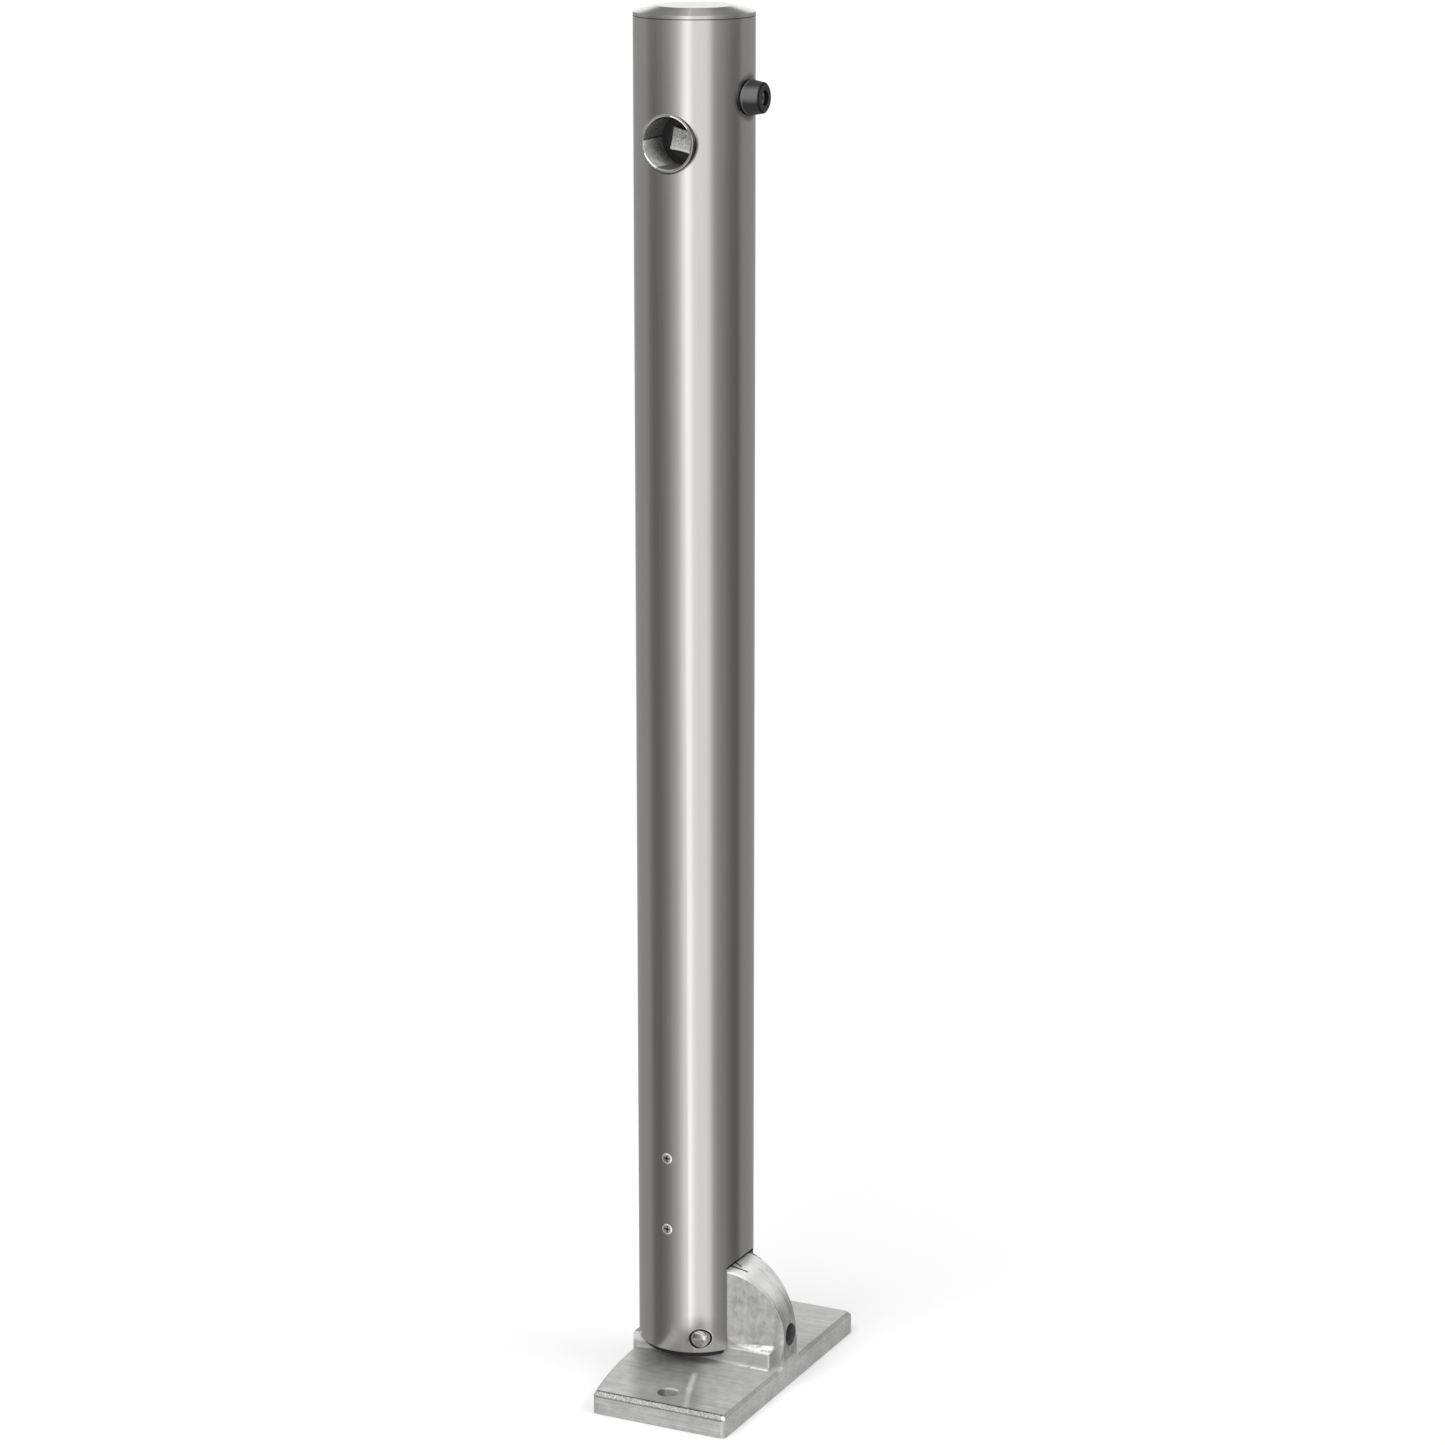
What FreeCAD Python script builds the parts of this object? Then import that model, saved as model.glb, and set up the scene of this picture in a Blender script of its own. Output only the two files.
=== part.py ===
"""Fold-down parking bollard: a stainless post that tips over on a cast hinge foot.

Lengths are millimetres. +Z is up, +X is the way the post folds, and +Y runs along the
pivot pin. The origin is on the post's axis at the underside of the foot.
"""
import FreeCAD, Part
import math
import os
import Sketcher

SIZES = [
    # Post and cap
    ("overall_height", 900.0, "ground to the top of the cap"),
    ("post_diameter", 76.1, "outside of the post tube"),
    ("post_wall", 2.0, "wall of the post tube"),
    ("post_lift", 10.0, "tube's lower edge above the foot plate"),
    ("cap_rim", 2.3, "height of the cap's straight rim"),
    ("cap_bevel", 3.8, "rise of the cap's conical shoulder"),
    ("cap_flat_radius", 24.0, "flat circle on top of the cap"),
    ("cap_spigot", 7.0, "depth of the cap's spigot in the tube"),
    ("cap_spigot_wall", 3.5, "wall of the cap's spigot"),
    ("fit_gap", 0.1, "play of a piece that is fixed inside another"),
    ("running_gap", 0.05, "radial play of a turning fit"),
    ("sliding_gap", 0.08, "radial play of the sliding bolt and rod"),
    # Foot casting
    ("front_reach", 50.6, "front edge of the foot plate ahead of the pivot"),
    ("plate_bow", 12.4, "bow of the plate's back edge, flush with the post"),
    ("plate_length", 200.0, "foot plate along the pivot"),
    ("plate_thickness", 15.0, "foot plate thickness"),
    ("plate_bevel", 2.7, "bevel round the plate's upper edge"),
    ("plate_corner", 3.5, "radius of the plate's upright corners"),
    ("fixing_margin", 20.0, "ground fixing holes from the plate's ends"),
    ("fixing_radius", 6.75, "radius of a ground fixing hole"),
    ("block_half_width", 19.6, "half the width of the hinge block"),
    ("block_radius", 46.4, "radius of the hinge block's round back"),
    ("block_centre_drop", 1.0, "centre of the round back below the pivot"),
    ("block_edge", 0.9, "rounding along the edges of the round back"),
    ("taper_length", 37.4, "length over which the block's sides draw in"),
    ("nose_half_width", 8.7, "half the width of the block's front face"),
    ("nose_foot_half_width", 9.5, "half the width of the nose below the ledge"),
    ("ledge_rise", 11.5, "ledge beside the block above the foot plate"),
    ("ledge_fillet", 8.5, "hollow between ledge and block"),
    ("ledge_setback", 6.6, "ledge's corner behind the front face"),
    ("nose_hollow", 10.9, "radius of the hollows beside the front face"),
    ("nose_flare", 9.0, "radius of the flare where the nose meets the plate"),
    ("foot_fillet", 2.4, "hollow between the ledge's sides and the plate"),
    ("pedestal_inset", 0.8, "back end of the pedestal inside the post's line"),
    ("seat_gap", 0.3, "gap under the upright post"),
    ("seat_length", 10.2, "length of the seat for the post's edge"),
    # Pivot
    ("pivot_inset", 19.25, "pivot behind the post's front line"),
    ("pivot_rise", 19.7, "pivot above the foot plate"),
    ("pin_radius", 6.0, "pivot pin"),
    ("pin_proud", 2.6, "pin end beyond the middle of its hole in the tube"),
    ("pin_dome", 2.2, "height of the bevels on the pin's end"),
    ("pin_dome_radius", 2.6, "flat left on the pin's end"),
    ("pin_crown", 0.45, "fall of the flatter bevel on the pin's end"),
    ("pin_crown_radius", 4.7, "outer end of the flatter bevel"),
    ("pin_hole_radius", 6.8, "hole for the pin in the tube"),
    ("bush_wall", 1.5, "wall of a pivot bush"),
    ("bush_length", 14.0, "length of a pivot bush"),
    ("cheek_gap", 0.35, "gap between block and bearing cheek"),
    ("cheek_drop", 4.2, "bearing cheeks below the tube's edge"),
    ("cheek_rise", 31.3, "bearing cheeks above the pivot"),
    ("cheek_bevel", 1.5, "bevel round a cheek's lower edge"),
    # Slot in the post
    ("slot_gap", 0.6, "gap between block and slot on each side"),
    ("slot_end_gap", 2.1, "slot end clear of the block when folded"),
    ("slot_rise", 5.1, "rise of the slot's arched end"),
    # Lock bolt and its guide
    ("bolt_radius", 7.0, "lock bolt"),
    ("bolt_travel", 20.0, "stroke of the lock bolt"),
    ("bolt_lift", 1.9, "drawn bolt clear of the folded block's face"),
    ("bolt_point", 1.2, "chamfer on the bolt's end"),
    ("bolt_stub", 9.8, "drawn bolt below its guide"),
    ("bolt_collar_radius", 10.0, "collar on the bolt under the spring"),
    ("bolt_collar", 4.0, "thickness of the collar"),
    ("bolt_collar_gap", 1.0, "collar above the guide's floor when locked"),
    ("bolt_socket", 12.0, "depth of the rod's socket in the bolt"),
    ("lock_hole_radius", 7.4, "lock holes in the block"),
    ("lock_hole_spare", 1.5, "lock hole deeper than the bolt reaches"),
    ("guide_margin", 12.6, "guide block beyond its screws"),
    ("guide_floor", 10.0, "floor of the spring chamber"),
    ("guide_gap", 0.2, "play between guide block and tube"),
    ("chamber_radius", 10.6, "spring chamber in the guide block"),
    ("stop_thickness", 6.0, "plug that closes the spring chamber"),
    ("spring_mean_radius", 7.8, "mean radius of the bolt spring"),
    ("spring_wire", 1.6, "square wire of the bolt spring"),
    ("spring_turns", 5.0, "turns of the bolt spring"),
    ("rod_radius", 4.0, "rod from the lock to the bolt"),
    ("screw_x", 2.5, "guide screws behind the post's axis"),
    ("screw_spacing", 49.0, "between the guide screws"),
    ("screw_radius", 2.0, "shank of a guide screw"),
    ("screw_head_radius", 3.7, "flush head of a guide screw"),
    ("screw_head", 0.8, "height of a guide screw's head"),
    ("screw_length", 13.0, "length of a guide screw's shank"),
    ("screw_socket", 1.3, "radius of the recess in a guide screw"),
    ("screw_socket_depth", 1.4, "depth of the recess in a guide screw"),
    # Key lock
    ("key_from_top", 81.4, "key opening below the top"),
    ("sleeve_radius", 18.0, "outside of the lock sleeve"),
    ("sleeve_wall", 1.7, "wall of the lock sleeve"),
    ("sleeve_bevel", 0.4, "bevels on the lock sleeve's mouth"),
    ("sleeve_proud", 0.3, "sleeve beyond the post's front line"),
    ("lock_plate_thickness", 4.0, "plate that closes the lock sleeve"),
    ("spindle_depth", 20.0, "face of the key spindle behind the post's front line"),
    ("spindle_reach", 10.6, "corner of the four-sided spindle from its axis"),
    ("spindle_angle", 35.0, "first corner of the spindle above level"),
    ("spindle_hollow", 0.7, "hollow of the spindle's sides"),
    ("spindle_corner", 1.2, "rounding of the spindle's corners"),
    ("spindle_bevel", 0.5, "bevel round the spindle's face"),
    ("spindle_collar_radius", 11.6, "collar behind the spindle's head"),
    ("spindle_collar", 1.6, "thickness of the collar"),
    ("spindle_shaft", 5.0, "shaft of the key spindle"),
    ("spindle_tail_gap", 0.4, "between spindle and yoke"),
    ("spindle_stub", 0.7, "shaft beyond the clip's groove"),
    ("crank_angle", 45.0, "crank above level at rest"),
    ("crank_gap", 0.15, "between crank and lock sleeve"),
    ("crank_thickness", 3.4, "crank plate"),
    ("crank_hub_radius", 8.0, "crank plate round the spindle"),
    ("crank_end_radius", 6.0, "crank plate round its pin"),
    ("crank_pin_radius", 3.0, "crank pin"),
    ("crank_pin_head_radius", 4.6, "head of the crank pin"),
    ("crank_pin_head", 1.5, "thickness of the crank pin's head"),
    ("crank_pin_play", 0.3, "yoke's play under the crank pin's head"),
    ("clip_thickness", 0.8, "retaining clip on the spindle"),
    ("clip_reach", 2.2, "retaining clip beyond the shaft"),
    ("clip_bite", 0.7, "groove of the retaining clip"),
    ("clip_mouth", 3.6, "half the opening of the retaining clip"),
    ("yoke_half_thickness", 2.5, "half the thickness of the yoke"),
    ("yoke_half_height", 9.5, "yoke above and below its slot's middle"),
    ("yoke_web", 2.2, "yoke behind its slot"),
    ("yoke_margin", 1.0, "yoke beyond its boss"),
    ("yoke_slot_play", 0.6, "play of the crank pin in the yoke's slot"),
    ("yoke_corner", 3.0, "corner radius of the yoke"),
    ("yoke_boss_radius", 6.6, "boss under the yoke"),
    ("yoke_boss", 14.0, "length of the boss"),
    ("lock_nut", 5.0, "thickness of the nut under the yoke"),
    ("lock_nut_flats", 13.0, "nut across its flats"),
    # Rubber buffer
    ("buffer_from_top", 55.0, "buffer below the top"),
    ("buffer_base_radius", 12.1, "buffer at the post"),
    ("buffer_tip_radius", 9.4, "buffer at its tip"),
    ("buffer_reach", 10.4, "buffer beyond the post"),
    ("buffer_edge", 0.9, "bevel round the buffer's tip"),
    ("buffer_recess_radius", 4.7, "recess for the screw"),
    ("buffer_recess", 5.2, "depth of the recess"),
    ("buffer_gap", 0.1, "between buffer and post"),
    ("washer_thickness", 0.8, "washer in the recess"),
    ("buffer_screw_radius", 2.5, "shank of the buffer's screw"),
    ("buffer_screw_head_radius", 3.9, "head of the buffer's screw"),
    ("buffer_screw_head", 2.7, "height of the screw's head"),
    ("buffer_screw_length", 16.0, "shank below the head"),
    ("buffer_socket", 1.6, "radius of the socket in the screw's head"),
    ("buffer_socket_depth", 1.5, "depth of the socket"),
    ("insert_radius", 3.6, "body of the threaded insert"),
    ("insert_flange_radius", 5.0, "flange of the threaded insert"),
    ("insert_flange", 0.8, "flange thickness"),
    ("insert_length", 14.0, "insert behind its flange"),
    ("insert_bulb_radius", 5.0, "insert where it grips the tube"),
    ("insert_bulb", 4.0, "length of the grip"),
    ("insert_wall", 1.05, "wall of the insert"),
]


class Size:
    """A number together with the sheet formula that gives it."""

    def __init__(self, value, formula):
        self.value = value
        self.formula = formula

    def join(self, sign, other, value, flip=False):
        first, second = (other, self) if flip else (self, other)
        return Size(value, f"({first.formula} {sign} {second.formula})")

    def __add__(self, other):
        other = as_size(other)
        return self.join("+", other, self.value + other.value)

    def __radd__(self, other):
        return as_size(other) + self

    def __sub__(self, other):
        other = as_size(other)
        return self.join("-", other, self.value - other.value)

    def __rsub__(self, other):
        return as_size(other) - self

    def __mul__(self, other):
        other = as_size(other)
        return self.join("*", other, self.value * other.value)

    def __rmul__(self, other):
        return as_size(other) * self

    def __truediv__(self, other):
        other = as_size(other)
        return self.join("/", other, self.value / other.value)

    def __neg__(self):
        return Size(-self.value, f"(-1 * {self.formula})")


def as_size(number):
    """Take a plain number or a Size as a Size."""
    return number if isinstance(number, Size) else Size(float(number), repr(float(number)))


def root(size):
    return Size(math.sqrt(size.value), f"sqrt({size.formula})")


def sine(size):
    """Sine of an angle in degrees."""
    return Size(math.sin(math.radians(size.value)), f"sin({size.formula})")


def cosine(size):
    """Cosine of an angle in degrees."""
    return Size(math.cos(math.radians(size.value)), f"cos({size.formula})")


def side_of(hypotenuse, side):
    """The other short side of a right-angled triangle."""
    return root(hypotenuse * hypotenuse - side * side)


def arch_radius(half_span, rise):
    """Radius of an arch with the given half span and rise."""
    return (half_span * half_span + rise * rise) / (2 * rise)


def make_sheet(doc):
    """Write the driving sizes to the sheet and give them back by name."""
    sheet = doc.addObject("Spreadsheet::Sheet", "Sizes")
    named = {}
    for row, (alias, value, note) in enumerate(SIZES, start=1):
        sheet.set(f"A{row}", alias.replace("_", " "))
        sheet.set(f"B{row}", str(value))
        sheet.set(f"C{row}", note)
        sheet.setAlias(f"B{row}", alias)
        named[alias] = Size(value, f"Sizes.{alias}")
    doc.recompute()
    return named


DOC = FreeCAD.newDocument("FoldDownBollard")
S = make_sheet(DOC)

# Sizes that follow from the driving ones
post_radius = S["post_diameter"] / 2
post_bore = post_radius - S["post_wall"]
post_foot = S["plate_thickness"] + S["post_lift"]
post_top = S["overall_height"] - S["cap_bevel"] - S["cap_rim"]
pivot_x = post_radius - S["pivot_inset"]
pivot_height = S["plate_thickness"] + S["pivot_rise"]
plate_front = pivot_x + S["front_reach"]
block_centre_x = plate_front - S["block_radius"]
block_centre_height = pivot_height - S["block_centre_drop"]
ledge_height = S["plate_thickness"] + S["ledge_rise"]
ledge_front = plate_front - S["ledge_setback"]
pedestal_back = post_radius - S["pedestal_inset"]
bush_radius = S["pin_radius"] + S["running_gap"] + S["bush_wall"]
cheek_foot = post_foot - S["cheek_drop"]
slot_half_width = S["block_half_width"] + S["slot_gap"]
# Folded, the block's front face looks up into the slot from this height
folded_front = S["front_reach"] + pivot_height
slot_crown = folded_front + S["slot_end_gap"]
bolt_tip = folded_front + S["bolt_lift"]
bolt_bite = S["bolt_travel"] - S["bolt_lift"]
guide_foot = bolt_tip + S["bolt_stub"]
guide_top = guide_foot + S["screw_spacing"] + S["guide_margin"] * 2
guide_radius = post_bore - S["guide_gap"]
screw_low = guide_foot + S["guide_margin"]
screw_seat = side_of(post_radius, S["screw_x"]) - S["post_wall"] / 2
collar_foot = guide_foot + S["guide_floor"] + S["bolt_collar_gap"] + S["bolt_travel"]
collar_top = collar_foot + S["bolt_collar"]
stop_foot = guide_top - S["stop_thickness"]
key_height = S["overall_height"] - S["key_from_top"]
buffer_height = S["overall_height"] - S["buffer_from_top"]
crank_rise = S["bolt_travel"] / 2
crank_radius = crank_rise / sine(S["crank_angle"])
crank_run = crank_radius * cosine(S["crank_angle"])
yoke_height = key_height + crank_rise
yoke_foot = yoke_height - S["yoke_half_height"]
# The lock from the yoke outwards, along its own axis
spindle_tail = S["yoke_half_thickness"] + S["spindle_tail_gap"]
clip_back = spindle_tail + S["spindle_stub"]
clip_front = clip_back + S["clip_thickness"] + S["running_gap"]
crank_back = clip_front + S["running_gap"]
crank_front = crank_back + S["crank_thickness"]
sleeve_tail = crank_front + S["crank_gap"]
sleeve_mouth = post_radius + S["sleeve_proud"]
sleeve_bore = S["sleeve_radius"] - S["sleeve_wall"]
lock_plate_front = sleeve_tail + S["lock_plate_thickness"]
spindle_face = post_radius - S["spindle_depth"]
buffer_tip = post_radius + S["buffer_reach"]
buffer_seat = buffer_tip - S["buffer_recess"]

# Ways in which a sub-part can lie: its own +Z along each of these
UPRIGHT = FreeCAD.Rotation()
TOWARDS_KEY = FreeCAD.Rotation(FreeCAD.Vector(1, 0, 0), 90)
TOWARDS_FRONT = FreeCAD.Rotation(FreeCAD.Vector(0, 1, 0), 90)


def new_body(label, x=0, y=0, z=0, turn=UPRIGHT):
    """Start a sub-part with its own origin at the given place."""
    body = DOC.addObject("PartDesign::Body", label)
    body.Label = label
    body.Placement = FreeCAD.Placement(FreeCAD.Vector(0, 0, 0), turn)
    for axis, place in (("x", x), ("y", y), ("z", z)):
        body.setExpression(f"Placement.Base.{axis}", as_size(place).formula)
    return body


def origin_feature(body, role):
    return next(item for item in body.Origin.OriginFeatures if item.Role == role)


def new_sketch(body, plane, height=0, lean=None):
    """Attach a sketch to one of the body's planes, at a height above it."""
    sketch = body.newObject("Sketcher::SketchObject", "Sketch")
    sketch.AttachmentSupport = (origin_feature(body, plane), [""])
    sketch.MapMode = "FlatFace"
    if lean is not None:
        sketch.AttachmentOffset = FreeCAD.Placement(
            FreeCAD.Vector(0, 0, 0), FreeCAD.Rotation(FreeCAD.Vector(0, 1, 0), lean.value))
        sketch.setExpression("AttachmentOffset.Rotation.Angle", lean.formula)
    sketch.setExpression("AttachmentOffset.Base.z", as_size(height).formula)
    return sketch


def fix_point(sketch, geometry, point, x, y):
    """Hold a point of the sketch at a place given by sizes."""
    for kind, place in (("DistanceX", x), ("DistanceY", y)):
        place = as_size(place)
        index = sketch.addConstraint(
            Sketcher.Constraint(kind, geometry, point, place.value))
        sketch.setExpression(f"Constraints[{index}]", place.formula)


def arc_between(start, end, radius, side):
    """Short arc from start to end, bulging to the right (+1) or left (-1) of the way."""
    chord = end - start
    half = chord.Length / 2
    normal = FreeCAD.Vector(-chord.y, chord.x, 0).normalize()
    centre = (start + end) / 2 + normal * (side * math.sqrt(radius ** 2 - half ** 2))
    first, last = (start, end) if side > 0 else (end, start)
    angles = [math.atan2(p.y - centre.y, p.x - centre.x) for p in (first, last)]
    circle = Part.Circle(centre, FreeCAD.Vector(0, 0, 1), radius)
    return Part.ArcOfCircle(circle, *angles)


def outline(body, plane, corners, height=0, lean=None):
    """Draw a closed outline. A corner is (x, y), or (x, y, radius, side) where the
    stretch that leaves it is an arc."""
    sketch = new_sketch(body, plane, height, lean)
    places = [FreeCAD.Vector(as_size(c[0]).value, as_size(c[1]).value, 0) for c in corners]
    ends = []
    for number, corner in enumerate(corners):
        start, end = places[number], places[(number + 1) % len(corners)]
        if len(corner) == 2:
            sketch.addGeometry(Part.LineSegment(start, end), False)
            ends.append((1, 2))
        else:
            radius, side = corner[2:]
            sketch.addGeometry(arc_between(start, end, radius.value, side), False)
            ends.append((1, 2) if side > 0 else (2, 1))
    for number, corner in enumerate(corners):
        after = (number + 1) % len(corners)
        sketch.addConstraint(Sketcher.Constraint(
            "Coincident", number, ends[number][1], after, ends[after][0]))
        fix_point(sketch, number, ends[number][0], corner[0], corner[1])
        if len(corner) == 4:
            index = sketch.addConstraint(
                Sketcher.Constraint("Radius", number, corner[2].value))
            sketch.setExpression(f"Constraints[{index}]", corner[2].formula)
    return sketch


def circles(body, plane, rounds, height=0):
    """Draw circles, each given as (x, y, radius)."""
    sketch = new_sketch(body, plane, height)
    for number, (x, y, radius) in enumerate(rounds):
        centre = FreeCAD.Vector(as_size(x).value, as_size(y).value, 0)
        sketch.addGeometry(
            Part.Circle(centre, FreeCAD.Vector(0, 0, 1), radius.value), False)
        fix_point(sketch, number, 3, x, y)
        index = sketch.addConstraint(Sketcher.Constraint("Radius", number, radius.value))
        sketch.setExpression(f"Constraints[{index}]", radius.formula)
    return sketch


def extrude(body, kind, sketch, length=None, both=False, flip=False):
    """Pad or pocket a sketch, one way or both ways, by a length or right through."""
    before = body.Shape.Volume if kind == "Pocket" else 0
    feature = body.newObject(f"PartDesign::{kind}", kind)
    feature.Profile = sketch
    feature.SideType = "Symmetric" if both else "One side"
    feature.Reversed = flip
    if length is None:
        feature.Type = "ThroughAll"
    else:
        feature.setExpression("Length", as_size(length).formula)
    sketch.Visibility = False
    DOC.recompute()
    if kind == "Pocket" and not body.Shape.Volume < before:
        raise RuntimeError(f"{body.Label}: a pocket cuts nothing")
    return feature


def pad(body, sketch, length, both=False, flip=False):
    return extrude(body, "Pad", sketch, length, both, flip)


def pocket(body, sketch, length=None, both=False, flip=False):
    return extrude(body, "Pocket", sketch, length, both, flip)


def turned(body, corners, kind="Revolution"):
    """Turn an outline in the XZ plane, given as (radius, height), about the body's Z."""
    before = body.Shape.Volume if kind == "Groove" else 0
    sketch = outline(body, "XZ_Plane", corners)
    feature = body.newObject(f"PartDesign::{kind}", kind)
    feature.Profile = sketch
    feature.ReferenceAxis = (sketch, ["V_Axis"])
    feature.Angle = 360
    sketch.Visibility = False
    DOC.recompute()
    if kind == "Groove" and not body.Shape.Volume < before:
        raise RuntimeError(f"{body.Label}: a groove cuts nothing")
    return feature


def mirrored(body, features, plane):
    """Repeat features on the far side of one of the body's planes."""
    copy = body.newObject("PartDesign::Mirrored", "Mirrored")
    copy.Originals = features
    copy.MirrorPlane = (origin_feature(body, plane), [""])
    body.Tip = copy
    DOC.recompute()
    return copy


def dress(body, kind, amount, wanted):
    """Fillet or chamfer the edges of the body for which wanted(edge) holds."""
    base = body.Tip
    names = [f"Edge{number}" for number, edge in enumerate(base.Shape.Edges, start=1)
             if wanted(edge)]
    if not names:
        raise RuntimeError(f"{body.Label}: no edge to {kind.lower()}")
    feature = body.newObject(f"PartDesign::{kind}", kind)
    feature.Base = (base, names)
    feature.setExpression("Radius" if kind == "Fillet" else "Size", amount.formula)
    DOC.recompute()
    return feature


def hexagon(radius, x=0, y=0):
    """Corners of a regular hexagon, as (x, y)."""
    return [(x + radius * math.cos(math.radians(60 * n)),
             y + radius * math.sin(math.radians(60 * n))) for n in range(6)]


def level(edge, height):
    """Whether the edge lies at one height."""
    return all(abs(vertex.Z - height.value) < 1e-4 for vertex in edge.Vertexes)


def make_base_casting():
    """Foot plate, pedestal and hinge block, cast as one piece and bored."""
    body = new_body("base_casting")
    half_length = S["plate_length"] / 2
    bow = arch_radius(half_length, S["plate_bow"])
    back_end = post_radius - S["plate_bow"]
    pad(body, outline(body, "XY_Plane", [
        (plate_front, -half_length),
        (plate_front, half_length),
        (-back_end, half_length, bow, 1),
        (-back_end, -half_length),
    ]), S["plate_thickness"])
    dress(body, "Fillet", S["plate_corner"],
          lambda edge: edge.Vertexes[0].Z != edge.Vertexes[-1].Z)
    dress(body, "Chamfer", S["plate_bevel"], lambda edge: level(edge, S["plate_thickness"]))

    # Pedestal with the seat for the post's edge, and the disc-shaped block on it.
    # The outline leaves out the plate's bevel, which the flare of the nose fills later.
    width = S["block_half_width"] * 2
    seat = post_foot - S["seat_gap"]
    seat_front = -pedestal_back + S["seat_length"]
    block_back = block_centre_x - S["block_radius"]
    block_top = block_centre_height + S["block_radius"]
    bevel_foot = S["plate_thickness"] - S["plate_bevel"]
    pad(body, outline(body, "XZ_Plane", [
        (-pedestal_back, 0),
        (plate_front, 0),
        (plate_front, bevel_foot),
        (plate_front - S["plate_bevel"], S["plate_thickness"]),
        (plate_front, S["plate_thickness"]),
        (plate_front, block_centre_height, S["block_radius"], 1),
        (block_centre_x, block_top, S["block_radius"], 1),
        (block_back, block_centre_height),
        (block_back, ledge_height),
        (seat_front, ledge_height),
        (seat_front, seat),
        (-pedestal_back, seat),
    ]), width, both=True)

    # Hollows that leave the narrow nose ahead of the ledge's corners
    ahead = plate_front + S["nose_hollow"]
    beside = S["block_half_width"] + S["nose_hollow"]
    cut = pocket(body, outline(body, "XY_Plane", [
        (ledge_front, -S["block_half_width"], S["nose_hollow"], -1),
        (plate_front, -S["nose_foot_half_width"]),
        (ahead, -S["nose_foot_half_width"]),
        (ahead, -beside),
        (ledge_front, -beside),
    ], height=S["plate_thickness"]), block_top, flip=True)
    mirrored(body, [cut], "XZ_Plane")

    # Drawn-in sides above the ledge, with the hollow along their foot
    draw_in = S["block_half_width"] - S["nose_half_width"]
    run = S["taper_length"]
    taper = Size(math.degrees(math.atan2(draw_in.value, run.value)),
                 f"atan2({draw_in.formula}; {run.formula})")
    # Distance of the drawn-in plane from the origin, along its own normal
    side = S["block_half_width"] * cosine(taper) + (plate_front - run) * sine(taper)
    hollow_top = ledge_height + S["ledge_fillet"]
    outside = side + S["block_radius"]
    cut = pocket(body, outline(body, "YZ_Plane", [
        (side, hollow_top, S["ledge_fillet"], 1),
        (side + S["ledge_fillet"], ledge_height),
        (outside, ledge_height),
        (outside, block_top + S["ledge_fillet"]),
        (side, block_top + S["ledge_fillet"]),
    ], lean=-taper), S["plate_length"], both=True)
    mirrored(body, [cut], "XZ_Plane")

    # Small hollows along the ledge's sides, and the flare of the nose onto the plate
    inset = S["foot_fillet"] / 2
    hollow = pad(body, outline(body, "YZ_Plane", [
        (S["block_half_width"] - inset, S["plate_thickness"] - inset),
        (S["block_half_width"] + S["foot_fillet"], S["plate_thickness"] - inset),
        (S["block_half_width"] + S["foot_fillet"], S["plate_thickness"], S["foot_fillet"], -1),
        (S["block_half_width"], S["plate_thickness"] + S["foot_fillet"]),
        (S["block_half_width"] - inset, S["plate_thickness"] + S["foot_fillet"]),
    ], height=-pedestal_back + S["plate_bevel"]),
        pedestal_back + ledge_front - S["plate_bevel"])
    mirrored(body, [hollow], "XZ_Plane")
    flare = pad(body, outline(body, "YZ_Plane", [
        (0, bevel_foot),
        (S["nose_foot_half_width"] + S["nose_flare"], bevel_foot, S["nose_flare"], -1),
        (S["nose_foot_half_width"], bevel_foot + S["nose_flare"]),
        (0, bevel_foot + S["nose_flare"]),
    ], height=plate_front), S["plate_bevel"], flip=True)
    mirrored(body, [flare], "XZ_Plane")

    def on_round_back(edge):
        first, last = edge.ParameterRange
        points = [edge.valueAt(first + (last - first) * part) for part in (0, 0.5, 1)]
        gaps = [math.hypot(point.x - block_centre_x.value,
                           point.z - block_centre_height.value) for point in points]
        on_round = all(abs(gap - S["block_radius"].value) < 1e-3 for gap in gaps)
        return on_round and edge.BoundBox.XLength > 1

    dress(body, "Fillet", S["block_edge"], on_round_back)

    # Bores for the pivot, the lock bolt in both positions, and the ground fixings
    pocket(body, circles(body, "XZ_Plane", [
        (pivot_x, pivot_height, bush_radius + S["running_gap"])]),
        width * 2, both=True)
    upright_hole_foot = bolt_tip - S["bolt_travel"] - S["lock_hole_spare"]
    pocket(body, circles(body, "XY_Plane", [(pivot_x, 0, S["lock_hole_radius"])],
                         height=upright_hole_foot), block_top, flip=True)
    folded_hole_end = plate_front - bolt_bite - S["lock_hole_spare"]
    pocket(body, circles(body, "YZ_Plane", [(0, pivot_height, S["lock_hole_radius"])],
                         height=folded_hole_end), plate_front, flip=True)
    half_spacing = half_length - S["fixing_margin"]
    pocket(body, circles(body, "XY_Plane", [
        (pivot_x, half_spacing, S["fixing_radius"]),
        (pivot_x, -half_spacing, S["fixing_radius"])]),
        S["plate_thickness"] * 2, flip=True)
    return body


def make_pivot_bush(label, towards):
    """Plain bush pressed into one side of the hinge block."""
    body = new_body(label, pivot_x, 0, pivot_height, TOWARDS_KEY)
    outer = towards * S["block_half_width"]
    inner = towards * (S["block_half_width"] - S["bush_length"])
    bore = S["pin_radius"] + S["running_gap"]
    turned(body, [(bore, inner), (bush_radius, inner), (bush_radius, outer), (bore, outer)])
    return body


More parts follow.
